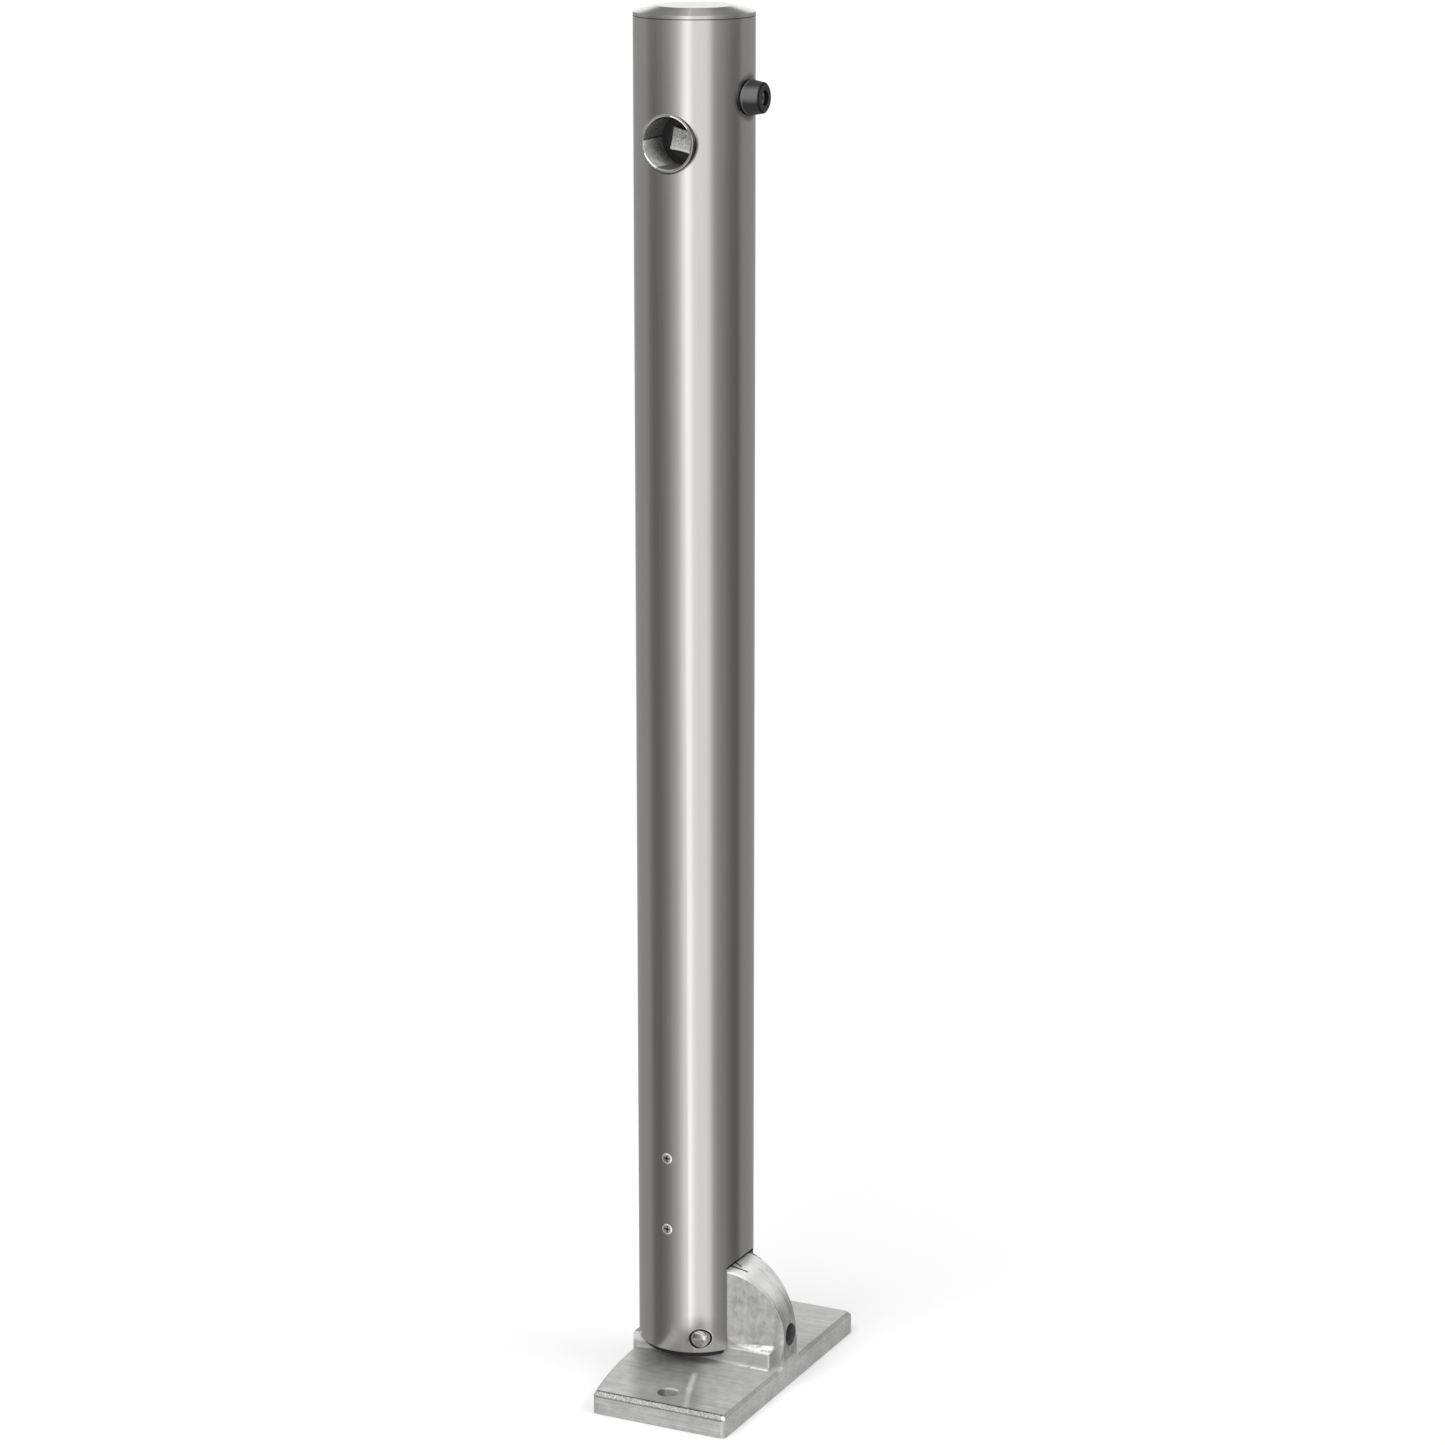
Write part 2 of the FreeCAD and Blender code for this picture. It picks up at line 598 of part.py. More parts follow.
def make_pivot_pin():
    """Hinge pin whose ends, each crowned by two bevels, show in the tube's holes."""
    body = new_body("pivot_pin", pivot_x, 0, pivot_height, TOWARDS_KEY)
    end = side_of(post_radius, pivot_x) + S["pin_proud"]
    crown = end - S["pin_crown"]
    shoulder = end - S["pin_dome"]
    turned(body, [
        (0, -end),
        (S["pin_dome_radius"], -end),
        (S["pin_crown_radius"], -crown),
        (S["pin_radius"], -shoulder),
        (S["pin_radius"], shoulder),
        (S["pin_crown_radius"], crown),
        (S["pin_dome_radius"], end),
        (0, end),
    ])
    return body


def make_bearing_cheek(label, flip):
    """Plastic cheek between hinge block and tube that carries the pin."""
    body = new_body(label)
    face = S["block_half_width"] + S["cheek_gap"]
    radius = post_bore - S["fit_gap"]
    half_span = side_of(radius, face)
    towards = -1 if flip else 1
    corners = [(half_span, towards * face, radius, towards),
               (0, towards * radius, radius, towards),
               (-half_span, towards * face)]
    pad(body, outline(body, "XY_Plane", corners, height=cheek_foot),
        pivot_height + S["cheek_rise"] - cheek_foot)
    dress(body, "Chamfer", S["cheek_bevel"],
          lambda edge: level(edge, cheek_foot) and edge.Curve.TypeId == "Part::GeomCircle")
    pocket(body, circles(body, "XZ_Plane", [
        (pivot_x, pivot_height, S["pin_radius"] + S["running_gap"])]),
        post_radius * 2, both=True)
    return body


def make_post_tube():
    """Round tube with the hinge slot and the holes for pin, lock, buffer and screws."""
    body = new_body("post_tube")
    pad(body, circles(body, "XY_Plane", [(0, 0, post_radius), (0, 0, post_bore)],
                      height=post_foot), post_top - post_foot)
    arch = arch_radius(slot_half_width, S["slot_rise"])
    shoulder = slot_crown - S["slot_rise"]
    pocket(body, outline(body, "YZ_Plane", [
        (-slot_half_width, 0),
        (slot_half_width, 0),
        (slot_half_width, shoulder, arch, 1),
        (-slot_half_width, shoulder),
    ]), S["post_diameter"], flip=True)
    pocket(body, circles(body, "XZ_Plane", [
        (pivot_x, pivot_height, S["pin_hole_radius"])]),
        S["post_diameter"] * 2, both=True)
    pocket(body, circles(body, "XZ_Plane", [
        (0, key_height, S["sleeve_radius"] + S["fit_gap"])]), S["post_diameter"], flip=True)
    pocket(body, circles(body, "YZ_Plane", [
        (0, buffer_height, S["insert_radius"] + S["fit_gap"])]), S["post_diameter"], flip=True)
    for number in range(2):
        height = screw_low + number * S["screw_spacing"]
        pocket(body, circles(body, "XZ_Plane", [
            (-S["screw_x"], height, S["screw_head_radius"] + S["fit_gap"])],
            height=screw_seat), S["post_wall"], flip=True)
        pocket(body, circles(body, "XZ_Plane", [
            (-S["screw_x"], height, S["screw_radius"] + S["fit_gap"])]),
            S["post_diameter"], flip=True)
    return body


def make_top_cap():
    """Turned cap with a conical shoulder and a hollow spigot in the tube."""
    body = new_body("top_cap", z=post_top)
    spigot = post_bore - S["fit_gap"]
    hollow = spigot - S["cap_spigot_wall"]
    top = S["cap_rim"] + S["cap_bevel"]
    turned(body, [
        (0, 0),
        (hollow, 0),
        (hollow, -S["cap_spigot"]),
        (spigot, -S["cap_spigot"]),
        (spigot, 0),
        (post_radius, 0),
        (post_radius, S["cap_rim"]),
        (S["cap_flat_radius"], top),
        (0, top),
    ])
    return body


def make_lock_sleeve():
    """Short cross tube that frames the key opening, cut square."""
    body = new_body("lock_sleeve", z=key_height, turn=TOWARDS_KEY)
    edge = S["sleeve_bevel"]
    turned(body, [
        (sleeve_bore, sleeve_tail),
        (S["sleeve_radius"], sleeve_tail),
        (S["sleeve_radius"], sleeve_mouth - edge),
        (S["sleeve_radius"] - edge, sleeve_mouth),
        (sleeve_bore + edge, sleeve_mouth),
        (sleeve_bore, sleeve_mouth - edge),
    ])
    return body


def make_lock_plate():
    """Disc at the back of the sleeve in which the key spindle turns."""
    body = new_body("lock_plate", z=key_height, turn=TOWARDS_KEY)
    bore = S["spindle_shaft"] + S["running_gap"]
    rim = sleeve_bore - S["running_gap"]
    turned(body, [
        (bore, sleeve_tail),
        (rim, sleeve_tail),
        (rim, lock_plate_front),
        (bore, lock_plate_front),
    ])
    return body


def make_key_spindle():
    """Four-sided key spindle with collar, shaft and the groove for its clip."""
    body = new_body("key_spindle", z=key_height, turn=TOWARDS_KEY)
    back = lock_plate_front + S["running_gap"]
    head_foot = back + S["spindle_collar"]
    groove = S["spindle_shaft"] - S["clip_bite"]
    turned(body, [
        (0, spindle_tail),
        (S["spindle_shaft"], spindle_tail),
        (S["spindle_shaft"], clip_back),
        (groove, clip_back),
        (groove, clip_front),
        (S["spindle_shaft"], clip_front),
        (S["spindle_shaft"], back),
        (S["spindle_collar_radius"], back),
        (S["spindle_collar_radius"], head_foot),
        (0, head_foot),
    ])
    reach = S["spindle_reach"]
    inset = head_foot - S["spindle_collar"] / 2
    hollow = arch_radius(reach / math.sqrt(2), S["spindle_hollow"])
    corners = []
    for number in range(4):
        angle = S["spindle_angle"] + number * 90
        corners.append((reach * cosine(angle), reach * sine(angle), hollow, -1))
    pad(body, outline(body, "XY_Plane", corners, height=inset), spindle_face - inset)
    dress(body, "Fillet", S["spindle_corner"],
          lambda edge: len(edge.Vertexes) == 2 and edge.BoundBox.ZLength > 1
          and math.hypot(edge.Vertexes[0].X, edge.Vertexes[0].Y) > reach.value - 0.01)
    dress(body, "Chamfer", S["spindle_bevel"], lambda edge: level(edge, spindle_face))
    return body


def make_crank_lever():
    """Crank plate on the spindle's shaft, one solid with two round ends."""
    body = new_body("crank_lever", z=key_height, turn=TOWARDS_KEY)
    hub, end = S["crank_hub_radius"], S["crank_end_radius"]
    # The straight flanks touch both round ends; their lean follows from the radii
    lean = (hub - end) / crank_radius
    rise = side_of(as_size(1.0), lean)
    along, across = cosine(S["crank_angle"]), sine(S["crank_angle"])

    def touch(radius, start, sign):
        forward = start + radius * lean
        sideways = sign * (radius * rise)
        return (forward * along - sideways * across, forward * across + sideways * along)

    far = crank_radius + end
    corners = [
        touch(hub, 0, -1),
        touch(end, crank_radius, -1) + (end, 1),
        (far * along, far * across, end, 1),
        touch(end, crank_radius, 1),
        touch(hub, 0, 1) + (hub, 1),
        (-hub * along, -hub * across, hub, 1),
    ]
    pad(body, outline(body, "XY_Plane", corners, height=crank_back), S["crank_thickness"])
    pocket(body, circles(body, "XY_Plane", [
        (0, 0, S["spindle_shaft"] + S["running_gap"]),
        (crank_run, crank_rise, S["crank_pin_radius"] + S["running_gap"])],
        height=crank_back), S["post_diameter"], both=True)
    return body


def make_crank_pin():
    """Pin that carries the yoke, with a head behind it."""
    body = new_body("crank_pin", crank_run, 0, yoke_height, TOWARDS_KEY)
    head_front = -S["yoke_half_thickness"] - S["crank_pin_play"]
    head_back = head_front - S["crank_pin_head"]
    turned(body, [
        (0, head_back),
        (S["crank_pin_head_radius"], head_back),
        (S["crank_pin_head_radius"], head_front),
        (S["crank_pin_radius"], head_front),
        (S["crank_pin_radius"], crank_front),
        (0, crank_front),
    ])
    return body


def make_spindle_clip():
    """Open retaining ring in the spindle's groove."""
    body = new_body("spindle_clip", z=key_height, turn=TOWARDS_KEY)
    foot = clip_front - S["clip_thickness"]
    inner = S["spindle_shaft"] - S["clip_bite"] + S["running_gap"]
    outer = S["spindle_shaft"] + S["clip_reach"]
    turned(body, [(inner, foot), (outer, foot), (outer, clip_front), (inner, clip_front)])
    mouth = S["clip_mouth"]
    pocket(body, outline(body, "XY_Plane", [
        (-outer * 2, -mouth), (0, -mouth), (0, mouth), (-outer * 2, mouth),
    ], height=foot), outer, both=True)
    return body


def make_rod_yoke():
    """Slotted plate that turns the crank's swing into the rod's stroke."""
    body = new_body("rod_yoke")
    low, high = yoke_foot, yoke_height + S["yoke_half_height"]
    thickness = S["yoke_half_thickness"] * 2
    half = S["crank_pin_radius"] + S["yoke_slot_play"]
    near = crank_run - S["yoke_slot_play"]
    away = crank_radius + S["yoke_slot_play"]
    back = near - half - S["yoke_web"]
    front = pivot_x + S["yoke_boss_radius"] + S["yoke_margin"]
    pad(body, outline(body, "XZ_Plane", [
        (back, low), (front, low), (front, high), (back, high),
    ]), thickness, both=True)
    dress(body, "Fillet", S["yoke_corner"],
          lambda edge: edge.BoundBox.YLength > 1 and abs(edge.Vertexes[0].Z - high.value) < 1e-4)
    pocket(body, outline(body, "XZ_Plane", [
        (near, yoke_height - half),
        (away, yoke_height - half, half, 1),
        (away + half, yoke_height, half, 1),
        (away, yoke_height + half),
        (near, yoke_height + half, half, 1),
        (near - half, yoke_height, half, 1),
    ]), thickness * 2, both=True)
    boss_foot = yoke_foot - S["yoke_boss"]
    pad(body, circles(body, "XY_Plane", [(pivot_x, 0, S["yoke_boss_radius"])],
                      height=boss_foot), S["yoke_boss"])
    pocket(body, circles(body, "XY_Plane", [
        (pivot_x, 0, S["rod_radius"] + S["running_gap"])], height=boss_foot),
        S["yoke_boss"], flip=True)
    return body


def make_lock_rod():
    """Long rod from the yoke down into the bolt."""
    body = new_body("lock_rod", x=pivot_x)
    foot = collar_top - S["bolt_socket"]
    head = yoke_foot - S["running_gap"]
    pad(body, circles(body, "XY_Plane", [(0, 0, S["rod_radius"])], height=foot), head - foot)
    return body


def make_yoke_nut():
    """Hexagon nut that locks the rod under the yoke."""
    body = new_body("yoke_nut", x=pivot_x)
    top = yoke_foot - S["yoke_boss"]
    foot = top - S["lock_nut"]
    pad(body, outline(body, "XY_Plane", hexagon(S["lock_nut_flats"] / math.sqrt(3)),
                      height=foot), S["lock_nut"])
    pocket(body, circles(body, "XY_Plane", [(0, 0, S["rod_radius"] + S["running_gap"])],
                         height=foot), S["lock_nut"], flip=True)
    return body


def make_lock_bolt():
    """Turned bolt with a collar for the spring and a socket for the rod."""
    body = new_body("lock_bolt", x=pivot_x)
    socket = S["rod_radius"] + S["running_gap"]
    socket_foot = collar_top - S["bolt_socket"] - S["running_gap"]
    turned(body, [
        (0, bolt_tip),
        (S["bolt_radius"] - S["bolt_point"], bolt_tip),
        (S["bolt_radius"], bolt_tip + S["bolt_point"]),
        (S["bolt_radius"], collar_foot),
        (S["bolt_collar_radius"], collar_foot),
        (S["bolt_collar_radius"], collar_top),
        (socket, collar_top),
        (socket, socket_foot),
        (0, socket_foot),
    ])
    return body


def make_guide_block():
    """Round block inside the tube that guides the bolt and holds its spring."""
    body = new_body("guide_block")
    height = guide_top - guide_foot
    pad(body, circles(body, "XY_Plane", [(0, 0, guide_radius)], height=guide_foot), height)
    pocket(body, circles(body, "XY_Plane", [
        (pivot_x, 0, S["bolt_radius"] + S["sliding_gap"])], height=guide_foot),
        height, flip=True)
    pocket(body, circles(body, "XY_Plane", [(pivot_x, 0, S["chamber_radius"])],
                         height=guide_foot + S["guide_floor"]), height, flip=True)
    hole_end = screw_seat - S["screw_length"]
    pocket(body, circles(body, "XZ_Plane", [
        (-S["screw_x"], screw_low, S["screw_radius"] + S["running_gap"]),
        (-S["screw_x"], screw_low + S["screw_spacing"],
         S["screw_radius"] + S["running_gap"])], height=hole_end), post_radius, flip=True)
    return body


def make_spring_stop():
    """Plug pressed into the chamber, on which the spring bears."""
    body = new_body("spring_stop", x=pivot_x)
    bore = S["rod_radius"] + S["sliding_gap"]
    rim = S["chamber_radius"] - S["running_gap"]
    turned(body, [(bore, stop_foot), (rim, stop_foot), (rim, guide_top), (bore, guide_top)])
    return body


def make_bolt_spring():
    """Compression spring of square wire between the bolt's collar and the stop."""
    body = new_body("bolt_spring", x=pivot_x)
    low = collar_top + S["running_gap"]
    high = stop_foot - S["spring_wire"] - S["running_gap"]
    inner = S["spring_mean_radius"] - S["spring_wire"] / 2
    outer = inner + S["spring_wire"]
    section = outline(body, "XZ_Plane", [
        (inner, low), (outer, low), (outer, low + S["spring_wire"]),
        (inner, low + S["spring_wire"])])
    coil = body.newObject("PartDesign::AdditiveHelix", "Coil")
    coil.Profile = section
    coil.ReferenceAxis = (section, ["V_Axis"])
    coil.Mode = "height-turns-angle"
    coil.setExpression("Height", (high - low).formula)
    coil.setExpression("Turns", S["spring_turns"].formula)
    section.Visibility = False
    DOC.recompute()
    return body


def guide_screw(height):
    """One flush screw through the tube into the guide block."""
    body = new_body("guide_screw", -S["screw_x"], 0, height, TOWARDS_KEY)
    head, shank = S["screw_head_radius"], S["screw_radius"]
    head_foot = screw_seat + S["fit_gap"]
    face = head_foot + S["screw_head"]
    end = head_foot - S["screw_length"]
    turned(body, [
        (0, end), (shank, end), (shank, head_foot), (head, head_foot), (head, face), (0, face)])
    pocket(body, outline(body, "XY_Plane", hexagon(S["screw_socket"]), height=face),
           S["screw_socket_depth"])
    return body


def make_guide_screws():
    """Both guide screws, kept together as one group of like fasteners."""
    screws = [guide_screw(screw_low + number * S["screw_spacing"]) for number in range(2)]
    group = DOC.addObject("Part::Compound", "guide_screws")
    group.Label = "guide_screws"
    group.Links = screws
    return group


def make_rubber_buffer():
    """Conical rubber buffer, hollowed at its foot to lie on the round tube."""
    body = new_body("rubber_buffer", z=buffer_height, turn=TOWARDS_FRONT)
    foot = side_of(post_radius, S["buffer_base_radius"]) - S["post_wall"]
    bore = S["insert_flange_radius"] + S["fit_gap"]
    flange_front = post_radius + S["insert_flange"] + S["fit_gap"]
    shank = S["buffer_screw_radius"] + S["fit_gap"]
    turned(body, [
        (bore, foot),
        (S["buffer_base_radius"], foot),
        (S["buffer_tip_radius"], buffer_tip),
        (S["buffer_recess_radius"], buffer_tip),
        (S["buffer_recess_radius"], buffer_seat),
        (shank, buffer_seat),
        (shank, flange_front),
        (bore, flange_front),
    ])
    dress(body, "Chamfer", S["buffer_edge"],
          lambda edge: level(edge, buffer_tip) and len(edge.Vertexes) == 1
          and edge.BoundBox.XLength > 2 * S["buffer_recess_radius"].value + 1)
    # The post's own surface hollows the foot
    pocket(body, circles(body, "YZ_Plane", [(0, 0, post_radius + S["buffer_gap"])]),
           post_radius * 4, both=True)
    return body


def make_buffer_insert():
    """Threaded insert that grips the tube's wall behind the buffer."""
    body = new_body("buffer_insert", z=buffer_height, turn=TOWARDS_FRONT)
    bore = S["insert_radius"] - S["insert_wall"]
    back = post_radius - S["insert_length"]
    grip = post_bore - S["fit_gap"]
    turned(body, [
        (bore, back),
        (S["insert_radius"], back),
        (S["insert_radius"], grip - S["insert_bulb"]),
        (S["insert_bulb_radius"], grip - S["insert_bulb"] / 2),
        (S["insert_radius"], grip),
        (S["insert_radius"], post_radius + S["buffer_gap"]),
        (S["insert_flange_radius"], post_radius + S["buffer_gap"]),
        (S["insert_flange_radius"], post_radius + S["insert_flange"]),
        (bore, post_radius + S["insert_flange"]),
    ])
    return body


def make_buffer_washer():
    """Washer under the screw's head."""
    body = new_body("buffer_washer", z=buffer_height, turn=TOWARDS_FRONT)
    bore = S["buffer_screw_radius"] + S["fit_gap"]
    rim = S["buffer_recess_radius"] - S["fit_gap"]
    top = buffer_seat + S["washer_thickness"]
    turned(body, [(bore, buffer_seat), (rim, buffer_seat), (rim, top), (bore, top)])
    return body


def make_buffer_screw():
    """Socket screw that holds the buffer."""
    body = new_body("buffer_screw", z=buffer_height, turn=TOWARDS_FRONT)
    seat = buffer_seat + S["washer_thickness"]
    top = seat + S["buffer_screw_head"]
    end = seat - S["buffer_screw_length"]
    shank, head = S["buffer_screw_radius"], S["buffer_screw_head_radius"]
    turned(body, [(0, end), (shank, end), (shank, seat), (head, seat), (head, top), (0, top)])
    pocket(body, outline(body, "XY_Plane", hexagon(S["buffer_socket"]), height=top),
           S["buffer_socket_depth"])
    return body


def make_parts():
    """Every sub-part, from the ground up."""
    return [
        make_base_casting(),
        make_pivot_bush("pivot_bush_near", 1),
        make_pivot_bush("pivot_bush_far", -1),
        make_pivot_pin(),
        make_bearing_cheek("bearing_cheek_near", True),
        make_bearing_cheek("bearing_cheek_far", False),
        make_post_tube(),
        make_top_cap(),
        make_lock_sleeve(),
        make_lock_plate(),
        make_key_spindle(),
        make_crank_lever(),
        make_crank_pin(),
        make_spindle_clip(),
        make_rod_yoke(),
        make_lock_rod(),
        make_yoke_nut(),
        make_lock_bolt(),
        make_guide_block(),
        make_spring_stop(),
        make_bolt_spring(),
        make_guide_screws(),
        make_rubber_buffer(),
        make_buffer_insert(),
        make_buffer_washer(),
        make_buffer_screw(),
    ]


def check(parts):
    """Stop before anything is written if a feature or a sub-part has failed."""
    failed = [item.Name for item in DOC.Objects
              if "Invalid" in item.State or "Error" in item.State]
    if failed:
        raise RuntimeError("failed features: " + ", ".join(failed))
    for part in parts:
        if part.Shape.isNull() or not part.Shape.isValid():
            raise RuntimeError(part.Label + " has no valid shape")


def main():
    parts = make_parts()
    DOC.recompute()
    check(parts)
    os.makedirs("parts", exist_ok=True)
    for part in parts:
        part.Shape.exportStep(f"parts/{part.Label}.step")
        print(f"{part.Label:20s} solids {len(part.Shape.Solids)}  "
              f"volume {part.Shape.Volume:12.1f}")


main()
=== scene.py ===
import math

import bmesh
import bpy
from bpy.props import FloatProperty, FloatVectorProperty, PointerProperty
from bpy.types import Operator, Panel, PropertyGroup
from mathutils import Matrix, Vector


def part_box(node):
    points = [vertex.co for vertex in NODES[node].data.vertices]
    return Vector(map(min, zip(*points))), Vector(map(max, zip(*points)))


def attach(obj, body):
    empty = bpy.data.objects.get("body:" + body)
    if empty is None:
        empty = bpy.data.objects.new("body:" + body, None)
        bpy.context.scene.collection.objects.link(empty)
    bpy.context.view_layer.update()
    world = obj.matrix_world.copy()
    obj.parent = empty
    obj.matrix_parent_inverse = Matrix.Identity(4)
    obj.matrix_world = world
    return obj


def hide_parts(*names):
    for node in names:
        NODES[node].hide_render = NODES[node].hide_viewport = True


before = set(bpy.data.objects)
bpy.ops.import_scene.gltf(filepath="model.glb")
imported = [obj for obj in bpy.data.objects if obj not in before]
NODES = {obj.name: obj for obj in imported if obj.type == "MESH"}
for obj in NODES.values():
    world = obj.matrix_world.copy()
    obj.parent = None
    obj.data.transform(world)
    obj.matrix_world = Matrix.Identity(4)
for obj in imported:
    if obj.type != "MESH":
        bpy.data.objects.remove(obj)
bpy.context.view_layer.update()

bl_info = {
    "name": "Fold-down bollard",
    "version": (1, 0, 0),
    "blender": (4, 5, 0),
    "location": "3D View > Sidebar > Bollard",
    "description": "Finishes and small fasteners of a fold-down parking bollard",
    "category": "Object",
}

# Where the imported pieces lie
FOOT_LOW, FOOT_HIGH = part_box("base_casting")
SCREWS_LOW, SCREWS_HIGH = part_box("guide_screws")
SLEEVE_LOW, SLEEVE_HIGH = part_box("lock_sleeve")
BUFFER_LOW, BUFFER_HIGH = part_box("rubber_buffer")
PIN_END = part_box("pivot_pin")[1].y
SPINDLE_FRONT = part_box("key_spindle")[0].y
CAP_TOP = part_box("top_cap")[1].z
TUBE_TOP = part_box("post_tube")[1].z
TUBE_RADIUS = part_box("post_tube")[1].y

# Hinge foot: plate, ledge beside the block, the block's round back, bores
PLATE_TOP = 0.015
PLATE_BEVEL = 0.0027
LEDGE = 0.0265
LEDGE_SETBACK = 0.0066
NOSE_HALF_WIDTH = 0.0094
BLOCK_HALF_WIDTH = 0.0196
BACK_CENTRE = Vector((0.023, 0.0, 0.0337))
BACK_RADIUS = 0.0464
PIVOT = Vector((0.0188, 0.0, 0.0347))
LOCK_HOLE = 0.0074
FIXING = Vector((0.0188, 0.08, 0.0))
FIXING_HOLE = 0.00675

# Post, key lock and buffer
PIN_HOLE = 0.0068
SCREW_EDGE = 0.0037
KEY_HEIGHT = (SLEEVE_LOW.z + SLEEVE_HIGH.z) / 2
SLEEVE_RADIUS = (SLEEVE_HIGH.x - SLEEVE_LOW.x) / 2
SLEEVE_WALL = 0.0017
SLEEVE_BORE = SLEEVE_RADIUS - SLEEVE_WALL
SPINDLE_DOWN = math.radians(260)
SPINDLE_HALF_SIDE = 0.0075
SPINDLE_HOLLOW = 0.0007
BUFFER_HEIGHT = (BUFFER_LOW.z + BUFFER_HIGH.z) / 2
BUFFER_FOOT = 0.0122
BUFFER_TIP = 0.0094
BUFFER_RECESS = 0.0047

# Painted reflection on the cap's turned shoulder: light and dark sectors, by place across
# the camera's view
SHOULDER_REFLECTION = (
    (-1.0, 1.0), (-0.93, 0.95), (-0.82, 0.5), (-0.55, 0.4), (-0.3, 0.52), (-0.15, 0.8),
    (-0.085, 1.0), (-0.03, 0.86), (0.24, 0.74), (0.37, 0.5), (0.55, 0.4), (0.85, 0.48),
    (0.94, 0.9), (1.0, 1.0),
)

# Scratches on the block's round back: angle and place across of both ends, half width
SCRATCHES = (
    (84.5, -0.0092, 76.0, -0.0091, 0.0015),
    (76.0, -0.0091, 67.5, -0.0072, 0.0011),
    (85.0, -0.0016, 75.0, -0.0046, 0.0010),
    (80.0, 0.0176, 73.5, 0.0172, 0.0010),
    (71.5, 0.0168, 68.5, 0.0164, 0.0006),
)
# Painted reflection of the tube's bright line on the plate beside the fixing hole: x and y
# of its points
TUBE_LINE_REFLECTION = ((0.0213, -0.046), (0.0289, -0.069), (0.0392, -0.095))
REFLECTION_HALF_WIDTH = 0.0032

# Studio: floor, camera, and a round reflector tent with its brightest level and the
# angle in degrees at which its rise ends
FLOOR_HALF = 12.0
FLOOR_DROP = 0.0002
EYE_LEVEL = 0.9
TENT_RADIUS = 4.0
TENT_LOW = -5.0
TENT_HIGH = 8.0
TENT_CARDS = 72
TENT_PEAK = 1.5
TENT_TOP = 60
CAMERA_PLACE = (1.15605, -2.32885, 1.10256)
CAMERA_LENS = 103.9

# Brightness that the tent shows to polished metal: below eye level by the angle from
# the camera's side, above it by the angle above the horizon
TENT_BANDS = (
    (-180, 0.62), (-158, 0.36), (-104, 0.33), (-93, 0.2), (-84, 0.155), (-75, 0.165),
    (-61, 0.22), (-50, 0.31), (-41, 0.44), (-34, 0.56), (-26, 0.8), (-21, 1.15),
    (-14, 1.5), (-9, 1.5), (-4, 1.1), (2, 1.0), (22, 1.0), (29, 0.86), (34, 0.52),
    (39, 0.38), (50, 0.3), (63, 0.21), (80, 0.14), (90, 0.14), (97, 0.24), (104, 0.3),
    (156, 0.34), (180, 0.62),
)
TENT_RISE = ((0, 1.0), (8, 1.15), (13, 1.1), (18, 0.6), (22, 0.34), (27, 0.34),
             (33, 0.6), (40, 0.85), (60, 1.0))

# Lamps: name, angle from the camera's side, height, width, power
LAMPS = (("key lamp", -35.0, 3.2, 2.4, 70.0), ("fill lamp", 70.0, 2.4, 2.0, 22.0))
LAMP_DISTANCE = 2.2
LAMP_AIM = Vector((0, 0, 0.4))


def length(name, about, default):
    """Length setting, in metres."""
    return FloatProperty(name=name, description=about, default=default, min=0.0,
                         unit="LENGTH", subtype="DISTANCE", precision=5)


def share(name, about, default):
    """Setting from 0 to 1."""
    return FloatProperty(name=name, description=about, default=default, min=0.0, max=1.0,
                         subtype="FACTOR", precision=3)


def tint(name, about, default):
    """Colour setting."""
    return FloatVectorProperty(name=name, description=about, default=default, size=3,
                               min=0.0, max=1.0, subtype="COLOR")


def angle(name, about, degrees):
    """Angle setting, given in degrees."""
    return FloatProperty(name=name, description=about, default=math.radians(degrees),
                         subtype="ANGLE", unit="ROTATION")


class PostFinish(PropertyGroup):
    """Finish of the post tube and its cap."""
    steel: tint("Steel", "Colour of the brushed tube and cap", (0.66, 0.65, 0.63))
    rim: tint("Bare rim", "Colour of the rubbed rim of the pin's hole", (0.95, 0.95, 0.94))
    roughness: share("Roughness", "Roughness of the tube between its brush lines", 0.17)
    brush_width: length("Brush width", "Width of a brush line", 0.0009)
    brush_depth: length("Brush depth", "Depth of a brush line", 0.000012)


class FootFinish(PropertyGroup):
    """Finish of the cast hinge foot."""
    metal: tint("Metal", "Colour of the cast foot", (0.72, 0.72, 0.712))
    # Rubbed metal and painted highlights share this colour
    bright: tint("Rubbed and highlit", "Colour of rubbed metal and painted highlights on the casting", (0.97, 0.97, 0.96))
    gloss: share("Metallic", "How metallic the ground casting looks", 0.4)
    roughness: share("Roughness", "Roughness of the cast faces", 0.4)
    grain: length("Grain", "Size of the casting's grain", 0.0012)
    grain_depth: length("Grain depth", "Depth of the casting's grain", 0.00008)


class LockFinish(PropertyGroup):
    """Finish of the key lock and of what it drives."""
    sleeve: tint("Sleeve", "Colour of the lock sleeve", (0.62, 0.61, 0.6))
    spindle: tint("Spindle", "Colour of the key spindle's face", (0.9, 0.9, 0.89))
    # Painted highlights and painted light in the sleeve take this colour
    bright: tint("Rubbed and highlit", "Colour of bright edges and painted light in the lock", (0.98, 0.98, 0.97))
    black: tint("Lock plate", "Colour of the plate behind the spindle", (0.05, 0.05, 0.05))
    plated: tint("Plated steel", "Colour of crank, yoke and rod", (0.42, 0.42, 0.43))
    wire: tint("Wire", "Colour of the bolt's spring and the clip", (0.32, 0.32, 0.33))


class PivotFinish(PropertyGroup):
    """Finish of pins, bolt, bushes, cheeks and guide."""
    polished: tint("Polished steel", "Colour of pins and bolt", (0.7, 0.69, 0.67))
    bronze: tint("Bronze", "Colour of the pivot's bushes", (0.55, 0.38, 0.18))
    plastic: tint("Plastic", "Colour of bearing cheeks and guide", (0.016, 0.016, 0.016))


